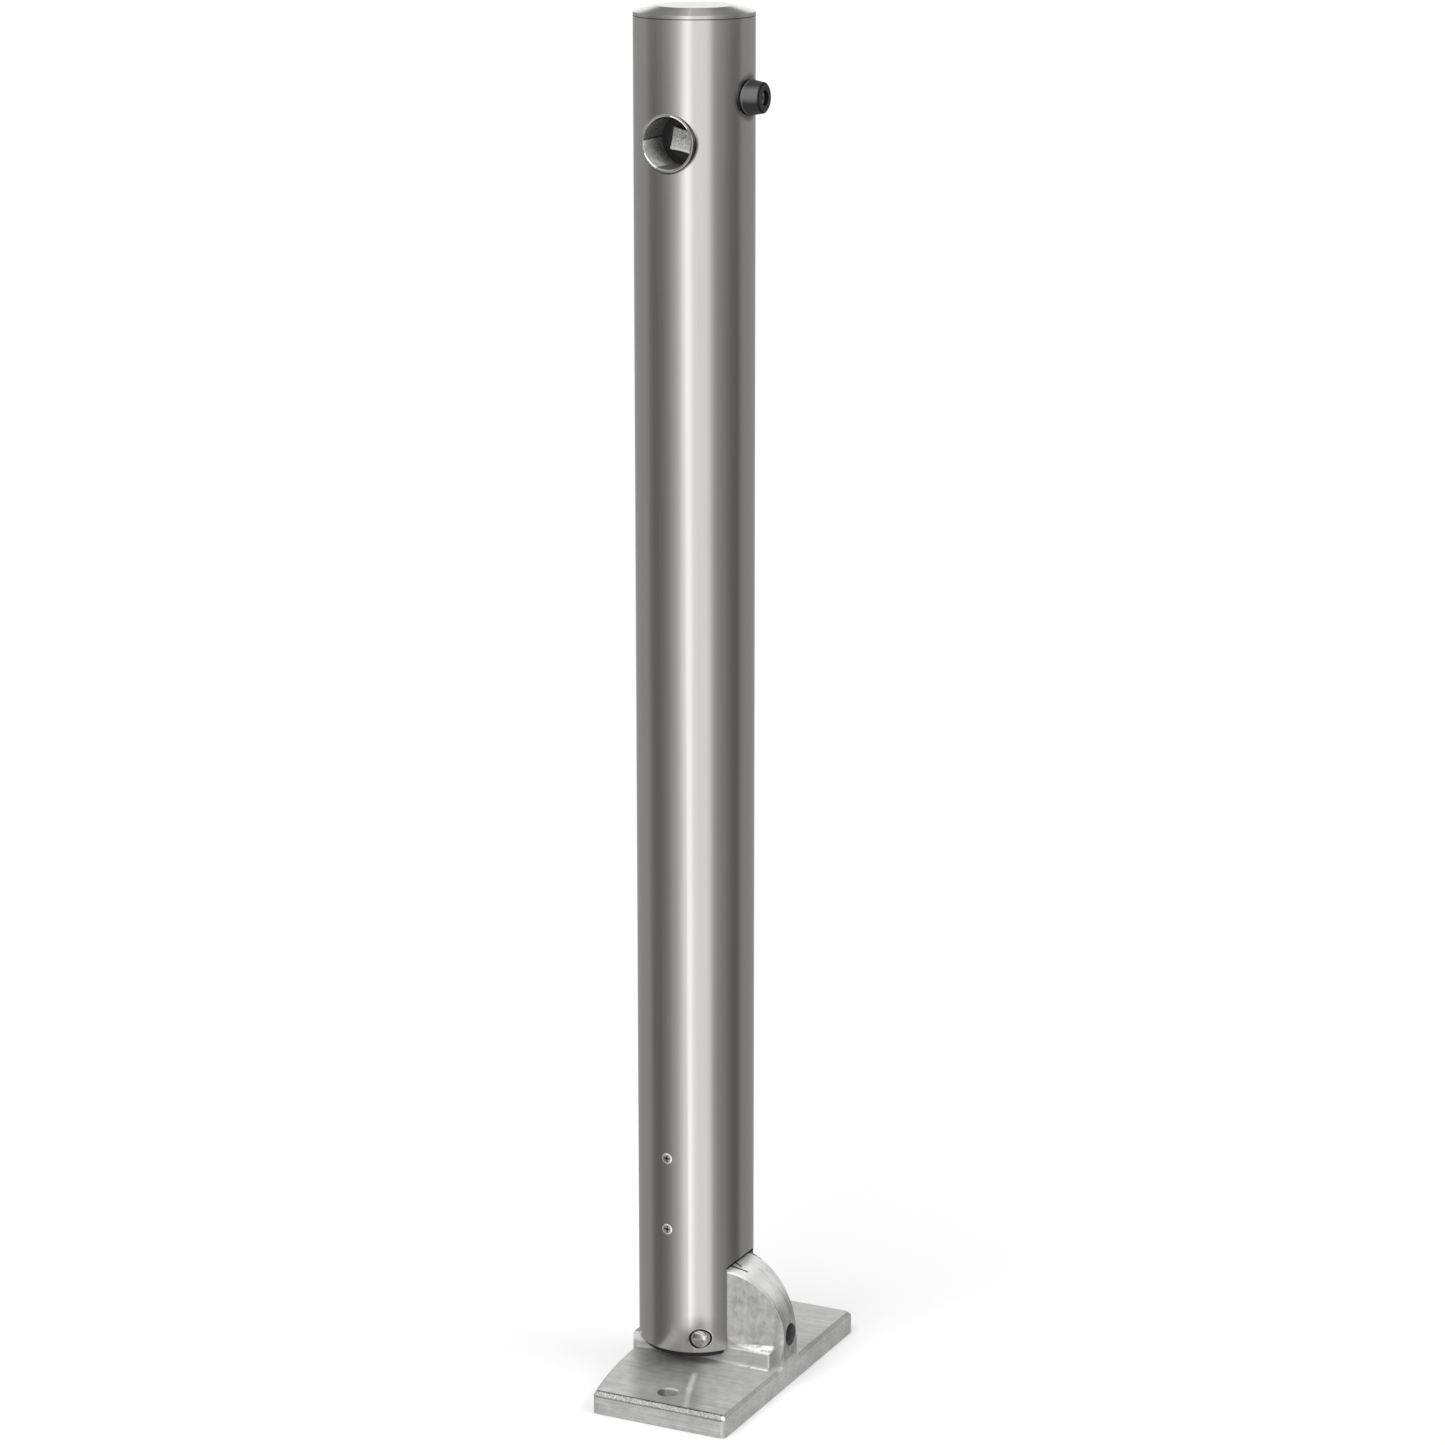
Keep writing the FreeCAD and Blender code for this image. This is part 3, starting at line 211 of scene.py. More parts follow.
class BufferFinish(PropertyGroup):
    """Finish of the rubber buffer and its fastening."""
    rubber: tint("Rubber", "Colour of the buffer", (0.14, 0.145, 0.145))
    # Colour of the painted light line by the buffer's foot
    line: tint("Foot line", "Colour of the line by the buffer's foot", (0.2, 0.2, 0.198))
    steel: tint("Fastener", "Colour of screw, washer and insert", (0.5, 0.5, 0.49))


class PinSizes(PropertyGroup):
    """Sizes of the domed pivot pin."""
    dome: length("Dome", "Height of the pin's rounded ends", 0.0022)
    radius: length("Radius", "Radius of the pin", 0.006)


class ScrewSizes(PropertyGroup):
    """Steel and sizes of the guide screws' heads."""
    steel: tint("Steel", "Colour of the guide screws", (0.95, 0.95, 0.94))
    head_radius: length("Head", "Radius of a guide screw's head", 0.0036)
    head_height: length("Head height", "Height of a guide screw's head", 0.0012)
    recess_width: length("Recess", "Width of the cross recess", 0.0009)
    recess_length: length("Recess length", "Length of the cross recess", 0.0042)
    recess_depth: length("Recess depth", "Depth of the cross recess", 0.0012)


class StudioSettings(PropertyGroup):
    """Floor and direction of the camera."""
    floor: tint("Floor", "Colour of the floor", (0.93, 0.93, 0.93))
    heading: angle("Heading", "Direction the camera looks, from +Y", 26.017)
    pitch: angle("Pitch", "How far the camera looks down", 14.22)


class Value:
    """A number or colour that varies over a surface, so sums of nodes read as sums."""

    def __init__(self, tree, socket):
        self.tree = tree
        self.socket = socket

    def join(self, operation, first, second=None):
        """Result of a Math node on one or two numbers."""
        node = self.tree.nodes.new("ShaderNodeMath")
        node.operation = operation
        put(self.tree, first, node.inputs[0])
        if second is not None:
            put(self.tree, second, node.inputs[1])
        return Value(self.tree, node.outputs[0])

    def __add__(self, other):
        return self.join("ADD", self, other)

    def __radd__(self, other):
        return self.join("ADD", other, self)

    def __sub__(self, other):
        return self.join("SUBTRACT", self, other)

    def __rsub__(self, other):
        return self.join("SUBTRACT", other, self)

    def __mul__(self, other):
        return self.join("MULTIPLY", self, other)

    def __rmul__(self, other):
        return self.join("MULTIPLY", other, self)

    def __truediv__(self, other):
        return self.join("DIVIDE", self, other)

    def __pow__(self, other):
        return self.join("POWER", self, other)

    def root(self):
        return self.join("SQRT", self)

    def size(self):
        """The number without its sign."""
        return self.join("ABSOLUTE", self)

    def least(self, other):
        """The smaller of the two."""
        return self.join("MINIMUM", self, other)

    def most(self, other):
        """The larger of the two."""
        return self.join("MAXIMUM", self, other)

    def turn(self, other):
        """Angle of the direction (other, self), in radians."""
        return self.join("ARCTAN2", self, other)


def put(tree, value, socket):
    """Feed a socket from a Value or set it to a plain number or colour."""
    if isinstance(value, Value):
        tree.links.new(value.socket, socket)
    elif hasattr(socket.default_value, "__len__"):
        wanted = list(value)
        if len(socket.default_value) == 4 and len(wanted) == 3:
            wanted.append(1.0)
        socket.default_value = wanted
    else:
        socket.default_value = value


class Shader:
    """A node tree under construction, of a material or of the world."""

    def __init__(self, owner):
        owner.use_nodes = True
        self.owner = owner
        self.tree = owner.node_tree
        self.tree.nodes.clear()

    def add(self, kind, settings=None, inputs=None, output=0):
        """Add a node, with its settings first and then its sockets."""
        node = self.tree.nodes.new("ShaderNode" + kind)
        for key, value in (settings or {}).items():
            if key == "stops":
                self.set_stops(node.color_ramp, value)
            else:
                setattr(node, key, value)
        for key, value in (inputs or {}).items():
            put(self.tree, value, node.inputs[key])
        return Value(self.tree, node.outputs[output]) if node.outputs else None

    @staticmethod
    def set_stops(ramp, stops):
        """Set a colour ramp's grey stops from pairs of place and level."""
        while len(ramp.elements) < len(stops):
            ramp.elements.new(1.0)
        for element, (place, level) in zip(ramp.elements, stops):
            element.position = place
            element.color = (level, level, level, 1.0)

    def place(self):
        """Position on the piece, in metres."""
        return self.add("TexCoord", output="Object")

    def axes(self, vector):
        """The three parts of a vector."""
        node = self.tree.nodes.new("ShaderNodeSeparateXYZ")
        put(self.tree, vector, node.inputs[0])
        return [Value(self.tree, socket) for socket in node.outputs]

    def vector(self, x, y, z):
        """Vector of three parts."""
        return self.add("CombineXYZ", inputs={0: x, 1: y, 2: z})

    def stretch(self, vector, factors):
        """Vector with each part times its own factor."""
        return self.add("VectorMath", {"operation": "MULTIPLY"}, {0: vector, 1: factors})

    def noise(self, vector, width, detail=2.0, coarse=0.5):
        """Noise from 0 to 1 whose spots are about the given width."""
        return self.add("TexNoise", inputs={"Vector": vector, "Scale": 1.0 / width,
                                            "Detail": detail, "Roughness": coarse})

    def step(self, value, low, high):
        """0 below low, 1 above high, smooth between."""
        return self.add("MapRange", {"interpolation_type": "SMOOTHSTEP"},
                        {0: value, 1: low, 2: high})

    def ramp(self, value, stops):
        """Level read off stops of place and level, with the value as the place."""
        return self.add("ValToRGB", {"stops": stops}, {0: value})

    def blend(self, factor, first, second):
        """Colour between two colours, whose sockets of the Mix node are 6 and 7."""
        return self.add("Mix", {"data_type": "RGBA"}, {0: factor, 6: first, 7: second},
                        output=2)

    def bump(self, height, depth):
        """Normal bent by a relief of the given depth."""
        return self.add("Bump", inputs={"Height": height, "Distance": depth,
                                        "Strength": 1.0})

    def window(self, value, low, high, edge):
        """1 between low and high, falling to 0 over the edge outside them."""
        return (self.step(value, low - edge, low)
                * (1.0 - self.step(value, high, high + edge)))

    def ring(self, first, second, centre, radius, edge=0.00025):
        """1 within the radius of a centre in the plane of two axes, else 0."""
        out = ((first - centre[0]) ** 2.0 + (second - centre[1]) ** 2.0).root()
        return 1.0 - self.step(out, radius, radius + edge)

    def stroke(self, along, across, start, end, half_width, core=0.5):
        """1 on a straight stroke between two places, fading beyond its core."""
        run, rise = end[0] - start[0], end[1] - start[1]
        reach = run * run + rise * rise
        part = ((along - start[0]) * run + (across - start[1]) * rise) / reach
        part = part.most(0.0).least(1.0)
        off = ((along - start[0] - part * run) ** 2.0
               + (across - start[1] - part * rise) ** 2.0).root()
        return 1.0 - self.step(off, half_width * core, half_width)

    def surface(self, **sockets):
        """Close the material with the main shader, its sockets given by name."""
        shader = self.add("BsdfPrincipled", inputs={
            key.replace("_", " ").title().replace("Ior", "IOR"): value
            for key, value in sockets.items()})
        self.add("OutputMaterial", inputs={"Surface": shader})
        return self.owner


def finish(name):
    """New material, ready to be painted."""
    return Shader(bpy.data.materials.new(name))


def dress(material, *nodes):
    """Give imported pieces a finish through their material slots."""
    for node in nodes:
        slots = NODES[node].material_slots
        if not slots:
            raise RuntimeError(f"{node} has no material slot")
        for slot in slots:
            slot.material = material


def new_object(name, data):
    """Object in the scene, at the origin."""
    thing = bpy.data.objects.new(name, data)
    bpy.context.scene.collection.objects.link(thing)
    return thing


def brushed_post(look):
    """Tube brushed along its length, with a dark joint under the cap, painted shade round
    the sleeve and painted reflections beside pin and buffer.
    """
    paint = finish("post brushed steel")
    place = paint.place()
    x, y, z = paint.axes(place)
    lines = paint.noise(paint.stretch(place, (1, 1, 0.006)), look.brush_width, 3.0, 0.6)
    fine = paint.noise(paint.stretch(place, (1, 1, 0.01)), look.brush_width / 4, 1.0)
    clouds = paint.noise(paint.stretch(place, (1, 1, 0.2)), 0.03, 2.0)

    # Painted shade in the gap round the sleeve, painted reflections above the pin and
    # beside the buffer, a dark joint under the cap, rubbed rim of the pin's hole
    near_side = 1.0 - paint.step(y, -0.012, -0.008)
    joint = paint.step(z, TUBE_TOP - 0.0006, TUBE_TOP - 0.0002)
    sleeve_gap_shade = (paint.ring(x, z, (0.0, KEY_HEIGHT), SLEEVE_RADIUS + 0.0004, 0.0012)
                    * paint.step(x - z + KEY_HEIGHT, 0.004, 0.02))
    pin_reflection = paint.ring(x, z, (PIVOT.x, PIVOT.z + 0.006), 0.004, 0.009)
    pin_rim = near_side * paint.ring(x, z, (PIVOT.x, PIVOT.z), PIN_HOLE + 0.0003)
    buffer_reflection = (paint.ring(y, z, (0.0, BUFFER_HEIGHT), BUFFER_FOOT, 0.004)
                     * paint.step(x, 0.0, 0.01))
    shade = 1.0 - 0.75 * joint
    shade = shade * (1.0 - near_side * (0.8 * sleeve_gap_shade).most(0.22 * pin_reflection))
    shade = shade * (1.0 - 0.6 * buffer_reflection)
    level = (0.9 + 0.08 * lines + 0.06 * clouds) * shade
    steel = paint.blend(level, (0, 0, 0), look.steel)
    steel = paint.blend(pin_rim * 0.7, steel, look.rim)
    rough = look.roughness - 0.05 + 0.07 * lines + 0.04 * fine
    relief = lines * 0.6 + fine * 0.4
    return paint.surface(base_color=steel, metallic=1.0, roughness=rough,
                         normal=paint.bump(relief, look.brush_depth))


def turned_cap(look, heading):
    """Cap turned on a lathe: fine rings, a painted reflection in light and dark sectors on
    its shoulder, a dark joint.
    """
    paint = finish("cap turned steel")
    x, y, z = paint.axes(paint.place())
    radius = (x * x + y * y).root()
    rings = paint.noise(paint.vector(radius, z, 0.0), 0.00035, 2.0, 0.6)
    clouds = paint.noise(paint.place(), 0.012, 2.0)
    # Painted reflection: the shoulder lighter and darker by place across the camera's view
    across = (x * math.cos(heading) + y * math.sin(heading)) / radius
    sectors = paint.ramp(across * 0.5 + 0.5, [(place * 0.5 + 0.5, level)
                                              for place, level in SHOULDER_REFLECTION])
    shoulder = (paint.step(z, TUBE_TOP + 0.0022, TUBE_TOP + 0.0024)
                * (1.0 - paint.step(z, CAP_TOP - 0.0002, CAP_TOP - 0.0001)))
    joint = 1.0 - paint.step(z, TUBE_TOP + 0.0001, TUBE_TOP + 0.0004)
    level = (0.9 + 0.1 * rings + 0.05 * clouds) * (1.0 - 0.8 * joint)
    level = level * (1.0 - shoulder * (1.0 - sectors))
    steel = paint.blend(level, (0, 0, 0), look.steel)
    return paint.surface(base_color=steel, metallic=1.0, roughness=0.16 + 0.08 * rings,
                         normal=paint.bump(rings, 0.00001))


class WearAndLight:
    """What rubbing, dirt and painted light do to a finish: how far dirt and painted shade
    darken it, bared metal and painted highlights brighten it, and relief roughens it.
    """

    def __init__(self):
        self.shade = 1.0
        self.bright = 0.0
        self.relief = 0.0

    def darken(self, amount):
        """Take this share of the light away."""
        self.shade = (1.0 - amount) * self.shade

    def bare(self, amount):
        """Brighten at least this much: bared metal and painted highlights alike."""
        self.bright = amount.most(self.bright)

    def roughen(self, amount):
        """Add to the relief."""
        self.relief = amount + self.relief

    def soil_and_shade(self, amount, darkness):
        """Dirt and painted shade alike: darken, and hide the bright under it."""
        self.darken(darkness * amount)
        self.bright = self.bright * (1.0 - amount)


def plate_face(paint, z):
    """1 on the flat top of the foot plate."""
    return paint.window(z, PLATE_TOP - 0.0001, PLATE_TOP + 0.0001, 0.0002)


def round_back(paint, x, y, z):
    """The hinge block's round back: radius and angle about it, its area, its streaks."""
    out = ((x - BACK_CENTRE.x) ** 2.0 + (z - BACK_CENTRE.z) ** 2.0).root()
    around = (z - BACK_CENTRE.z).turn(x - BACK_CENTRE.x)
    on_back = (paint.step(out, BACK_RADIUS - 0.0009, BACK_RADIUS - 0.0003)
               * paint.step(z, PLATE_TOP + 0.002, PLATE_TOP + 0.006)
               * (1.0 - paint.step(y.size(), BLOCK_HALF_WIDTH, BLOCK_HALF_WIDTH + 0.002)))
    streaks = paint.noise(paint.vector(out, y, around * 0.0018), 0.0009, 3.0, 0.6)
    return out, around, on_back, streaks


def back_wear_and_light(wear_and_light, paint, place, x, y, z, around, on_back, streaks):
    """Painted highlights along the edges, a brighter top before the slot, scratches, and
    painted shade where the back runs under the tube's slot.
    """
    # Painted highlight along the back's edges
    edge = (on_back * paint.window(y.size(), BLOCK_HALF_WIDTH - 0.0013,
                                   BLOCK_HALF_WIDTH, 0.0004))
    upper = on_back * paint.step(z, 0.06, 0.07)
    # Painted shade in a line under the tube's slot
    slot_shade = upper * (1.0 - paint.step(x, 0.0303, 0.0311))
    before_slot = upper * (1.0 - paint.step(x, 0.037, 0.05))
    wander = (paint.noise(place, 0.002, 3.0) - 0.5) * 0.0012
    scratched = 0.0
    for first, low, last, high, half_width in SCRATCHES:
        scratched = paint.stroke(
            around * BACK_RADIUS, y + wander,
            (math.radians(first) * BACK_RADIUS, low),
            (math.radians(last) * BACK_RADIUS, high), half_width) + scratched
    scratched = scratched.least(1.0) * on_back * (0.5 + streaks).least(1.0)
    wear_and_light.bare(0.7 * edge)
    wear_and_light.bare((0.45 + 0.5 * streaks) * before_slot)
    wear_and_light.soil_and_shade(scratched, 0.95)
    wear_and_light.soil_and_shade(slot_shade, 0.9)


def bore_shade_and_light(wear_and_light, paint, x, y, z):
    """Painted shade in the bores of bolt and anchors, each anchor hole with a painted lit
    wall and a bright crescent at its inner edge.
    """
    bore_shade = (paint.ring(y, z, (PIVOT.y, PIVOT.z), LOCK_HOLE)
             .most(paint.ring(x, y, (PIVOT.x, PIVOT.y), LOCK_HOLE)))
    fixing = paint.ring(x, y.size(), FIXING, FIXING_HOLE)
    inward = FIXING.y - y.size()
    in_shade = fixing * paint.step((x - FIXING.x).size(), 0.55 * FIXING_HOLE,
                                   0.95 * FIXING_HOLE)
    lit_wall = (fixing * paint.step(inward, 0.3 * FIXING_HOLE, FIXING_HOLE)
                * paint.step(z, PLATE_TOP - 0.0012, PLATE_TOP - 0.0007))
    inner_crescent = (plate_face(paint, z) * (1.0 - fixing)
            * paint.ring(x, y.size(), FIXING, FIXING_HOLE + 0.0005)
            * paint.step(inward, 0.55 * FIXING_HOLE, 0.9 * FIXING_HOLE))
    # Painted shade in the bores and at each anchor hole's ends, painted light on its far
    # wall
    wear_and_light.darken(0.6 * bore_shade)
    wear_and_light.darken(0.55 * in_shade)
    wear_and_light.bare(0.7 * lit_wall)
    wear_and_light.bare(0.8 * inner_crescent)


def ledge_light_and_shade(wear_and_light, paint, place, x, y, z):
    """Painted highlights in the hollow, along the edges and at the foot of the ledge,
    painted shade beside the nose.
    """
    flecks = paint.noise(paint.stretch(place, (1, 1, 2.5)), 0.004, 3.0, 0.6)
    before_nose = 1.0 - paint.step(x, FOOT_HIGH.x - 0.0075, FOOT_HIGH.x - 0.0055)
    # Painted highlights along the ledge's hollow, its edge, the block's corner and the
    # ledge's foot
    hollow = (paint.window(z, LEDGE + 0.0002, LEDGE + 0.0026, 0.0012)
              * paint.step(x, 0.03, 0.058) * paint.step(flecks, 0.36, 0.54) * before_nose)
    edge = (paint.window(z, LEDGE - 0.0004, LEDGE + 0.0002, 0.0003)
            * paint.step(x, 0.03, 0.04) * paint.step(flecks, 0.3, 0.42) * before_nose)
    from_corner = ((x - FOOT_HIGH.x + LEDGE_SETBACK) ** 2.0
                   + (y.size() - BLOCK_HALF_WIDTH) ** 2.0).root()
    corner = ((1.0 - paint.step(from_corner, 0.0005, 0.001))
              * paint.window(z, PLATE_TOP + 0.002, LEDGE, 0.0004))
    foot = (paint.window(z, PLATE_TOP + 0.0003, PLATE_TOP + 0.0008, 0.0002)
            * paint.window(y.size(), BLOCK_HALF_WIDTH, BLOCK_HALF_WIDTH + 0.003, 0.0003)
            * paint.step(x, 0.036, 0.048) * paint.step(flecks, 0.42, 0.5) * before_nose)
    # Painted shade on the faces beside the nose
    beside_nose = (paint.step(x, FOOT_HIGH.x - 0.0075, FOOT_HIGH.x - 0.0065)
                   * paint.step(y.size(), NOSE_HALF_WIDTH, 0.012)
                   * paint.step(z, PLATE_TOP + 0.0004, PLATE_TOP + 0.001))
    wear_and_light.bare(0.85 * hollow)
    wear_and_light.bare(0.75 * edge)
    wear_and_light.bare(0.5 * corner)
    wear_and_light.bare(0.6 * foot)
    wear_and_light.darken(0.28 * beside_nose)


def bevel_wear_and_light(wear_and_light, paint, place, x, y, z):
    """Bevels along the plate's top: speckled at the key end, with painted shade along the
    front.
    """
    rise = (z - PLATE_TOP + PLATE_BEVEL) / PLATE_BEVEL
    bevelled = (paint.step(rise, 0.02, 0.1)
                * (1.0 - paint.step(z, PLATE_TOP, PLATE_TOP + 0.0003)))
    key_end = (1.0 - paint.step(y, FOOT_LOW.y + PLATE_BEVEL - 0.0003,
                                FOOT_LOW.y + PLATE_BEVEL)) * bevelled
    # Painted shade along the front bevel
    front = (paint.step(x, FOOT_HIGH.x - PLATE_BEVEL, FOOT_HIGH.x - PLATE_BEVEL + 0.0003)
             * paint.step(y.size(), 0.013, 0.018) * bevelled * (1.0 - key_end))
    specks = paint.noise(place, 0.001, 2.0, 0.7)
    speckle = paint.step(specks, 0.38, 0.66)
    # Painted shade lines where the key end's bevel meets the top and the end face
    from_end = y - FOOT_LOW.y
    upper_line = (paint.window(from_end, PLATE_BEVEL - 0.0003, PLATE_BEVEL + 0.0007, 0.0004)
                  * paint.step(z, PLATE_TOP - 0.0006, PLATE_TOP - 0.0003) * bevelled)
    lower_line = (paint.window(z, PLATE_TOP - PLATE_BEVEL - 0.0007,
                               PLATE_TOP - PLATE_BEVEL + 0.0001, 0.0003)
                  * (1.0 - paint.step(from_end, 0.0006, 0.0009)))
    lines = upper_line.most(0.7 * lower_line)
    # Painted highlight in the corner towards the key
    corner = ((x - FOOT_HIGH.x + 0.0014) ** 2.0 + (y - FOOT_LOW.y - 0.0014) ** 2.0
              + (z - PLATE_TOP + 0.0012) ** 2.0).root()
    corner_highlight = 1.0 - paint.step(corner, 0.0012, 0.0022)
    wear_and_light.darken(key_end * (0.4 - 0.4 * speckle))
    wear_and_light.darken(lines * (0.35 + 0.6 * (1.0 - speckle)))
    wear_and_light.darken(0.4 * front)
    wear_and_light.bare(0.85 * corner_highlight)
    wear_and_light.bare(0.2 * key_end * speckle * (1.0 - lines))
    wear_and_light.roughen(2.5 * key_end * specks)


def plate_reflections(wear_and_light, paint, x, y, z, heading):
    """Painted reflections on the plate: the tube's bright line beside the fixing hole, and
    a darker strip from the post to the key end.
    """
    line_reflection = 0.0
    for start, end in zip(TUBE_LINE_REFLECTION, TUBE_LINE_REFLECTION[1:]):
        line_reflection = paint.stroke(x, y, start, end, REFLECTION_HALF_WIDTH, 0.0) + line_reflection
    line_reflection = line_reflection.least(1.0) * (0.6 + 0.4 * paint.step(y, -0.086, -0.07))
    # Painted reflection of the tube: a darker strip from the post to the key end
    across = x * math.cos(heading) + y * math.sin(heading)
    tube_reflection = (paint.window(across, -0.035, -0.004, 0.012)
              * paint.step((x * x + y * y).root(), 0.026, 0.036)
              * (1.0 - paint.step(y, -0.004, 0.004)))
    face = plate_face(paint, z)
    wear_and_light.darken(0.4 * tube_reflection * face)
    wear_and_light.bare(0.4 * line_reflection * face)


def cast_foot(look, heading):
    """Casting with ground, mottled faces, a speckled bevel and a streaked, scratched round
    back, with painted light and shade over bores, ledge, bevels, plate and back.
    """
    paint = finish("foot cast metal")
    place = paint.place()
    x, y, z = paint.axes(place)
    grain = paint.noise(place, look.grain, 4.0, 0.65)
    mottle = paint.noise(place, 0.0055, 4.0, 0.6) - 0.5
    patches = paint.noise(place, 0.024, 3.0, 0.5) - 0.5
    ground = paint.noise(paint.stretch(place, (0.05, 1, 1)), 0.0016, 4.0, 0.6) - 0.5
    upright = paint.noise(paint.stretch(place, (1, 1, 0.4)), 0.0045, 4.0, 0.65) - 0.5
    out, around, on_back, streaks = round_back(paint, x, y, z)
    # Faces of the block above the ledge
    wall = (paint.step(z, LEDGE + 0.0012, LEDGE + 0.003)
            * (1.0 - paint.step(out, BACK_RADIUS - 0.0011, BACK_RADIUS - 0.0006))
            * paint.step(x, TUBE_RADIUS - 0.006, TUBE_RADIUS))

    wear_and_light = WearAndLight()
    bore_shade_and_light(wear_and_light, paint, x, y, z)
    ledge_light_and_shade(wear_and_light, paint, place, x, y, z)
    bevel_wear_and_light(wear_and_light, paint, place, x, y, z)
    plate_reflections(wear_and_light, paint, x, y, z, heading)
    back_wear_and_light(wear_and_light, paint, place, x, y, z, around, on_back, streaks)

    level = 0.72 + (0.36 + 0.3 * wall) * mottle + 0.5 * patches
    level = level + (1.0 - wall) * (1.0 - on_back) * 0.5 * ground
    level = level - wall * 0.1 + wall * 0.55 * upright - 0.08 * (grain - 0.5)
    # Painted light and shade: the round back lighter over its top and darker low down
    level = level * (1.0 - on_back * (0.42 - 0.75 * paint.step(around, 0.1, 1.2)))
    level = level + on_back * (streaks - 0.5)
    colour = paint.blend(level * wear_and_light.shade, (0, 0, 0), look.metal)
    colour = paint.blend(wear_and_light.bright, colour, look.bright)
    rough = (look.roughness + 0.3 * mottle + 0.1 * (grain - 0.5)
             - 0.06 * on_back + 0.1 * on_back * (streaks - 0.5))
    relief = (grain * (1.0 - 0.8 * on_back) + on_back * streaks * 0.4 + mottle * 2.0
              + (1.0 - on_back) * ground + wear_and_light.relief)
    return paint.surface(base_color=colour, metallic=look.gloss * (1.0 - wear_and_light.bright),
                         roughness=rough, normal=paint.bump(relief, look.grain_depth))


def rolled_sleeve(look):
    """Lock sleeve: painted shade and painted light inside, a dark seam, painted highlights
    on parts of its mouth.
    """
    paint = finish("sleeve steel")
    place = paint.place()
    x, y, z = paint.axes(place)
    up = z - KEY_HEIGHT
    out = (x * x + up * up).root()
    depth = y - SLEEVE_LOW.y
    # Angle about the sleeve: nothing at the side away from the buffer, rising to the top
    side = up.turn(-1.0 * x)
    inside = 1.0 - paint.step(out, SLEEVE_BORE + 0.00005, SLEEVE_BORE + 0.00012)
    outside = paint.step(out, SLEEVE_RADIUS - 0.0002, SLEEVE_RADIUS - 0.0001)
    seam = 1.0 - paint.step((side - 0.09).size(), 0.02, 0.045)
    # Lit lower left of the inside, darker towards its depth, and the grey rest of it
    lit = (paint.window(side, math.radians(-62), math.radians(2), 0.12)
           * (1.0 - 0.65 * paint.step(depth, 0.006, 0.026)))
    grey = 1.0 - paint.window(side, math.radians(75), math.radians(130), 0.6)
    spots = paint.noise(paint.stretch(place, (1, 0.5, 1)), 0.0034, 2.0)
    spots = paint.step(spots, 0.5, 0.66)
    clouds = paint.noise(place, 0.004, 3.0)
    # Lip of the mouth, with painted highlights over two arcs
    lip = ((1.0 - inside)
           * (1.0 - paint.step(out, SLEEVE_BORE + 0.0007, SLEEVE_BORE + 0.0009)))
    arcs = (paint.window(side, math.radians(100), math.radians(144), 0.06)
            .most(paint.window(side, math.radians(-62), math.radians(-25), 0.06)))
    rubbed = lip * arcs
    # Painted shade: the inside darker than the outer face, the outer side darker still in
    # the gap round it
    inner = 0.46 + 0.3 * clouds - 0.4 * seam
    outer = (0.85 + 0.15 * clouds) * (1.0 - 0.72 * outside)
    level = inside * inner + (1.0 - inside) * outer
    steel = paint.blend(level, (0, 0, 0), look.sleeve)
    paler = lit * inside * (0.5 + 0.45 * spots) * (1.0 - seam)
    steel = paint.blend(rubbed.most(paler), steel, look.bright)
    matt = rubbed.most(inside * (0.8 * lit).most(0.38 * grey))
    return paint.surface(base_color=steel, metallic=1.0 - matt,
                         roughness=0.2 + 0.15 * clouds, normal=paint.bump(clouds, 0.00002))


def cast_spindle(look):
    """Key spindle: mottled bright face, rubbed lower edge, dark flanks."""
    paint = finish("spindle cast steel")
    place = paint.place()
    x, y, z = paint.axes(place)
    face = 1.0 - paint.step(y - SPINDLE_FRONT, 0.0006, 0.0008)
    # How far down towards the lower side, which is hollow between its corners
    up = z - KEY_HEIGHT
    along = x * math.sin(SPINDLE_DOWN) - up * math.cos(SPINDLE_DOWN)
    below = (x * math.cos(SPINDLE_DOWN) + up * math.sin(SPINDLE_DOWN)
             - (along / SPINDLE_HALF_SIDE) ** 2.0 * SPINDLE_HOLLOW)
    rubbed = face * paint.step(below, 0.0049, 0.0055)
    lower_part = paint.step(below, -0.004, 0.005)
    specks = paint.step(paint.noise(place, 0.0011, 3.0, 0.7), 0.36, 0.64)
    clouds = paint.noise(place, 0.0035, 2.0)
    level = 0.05 + face * (0.12 + 0.5 * specks + 0.3 * clouds + 0.36 * lower_part)
    steel = paint.blend(level, (0, 0, 0), look.spindle)
    steel = paint.blend(rubbed, steel, look.bright)
    return paint.surface(base_color=steel, metallic=0.6 * (1.0 - rubbed),
                         roughness=0.42, normal=paint.bump(specks, 0.0001))


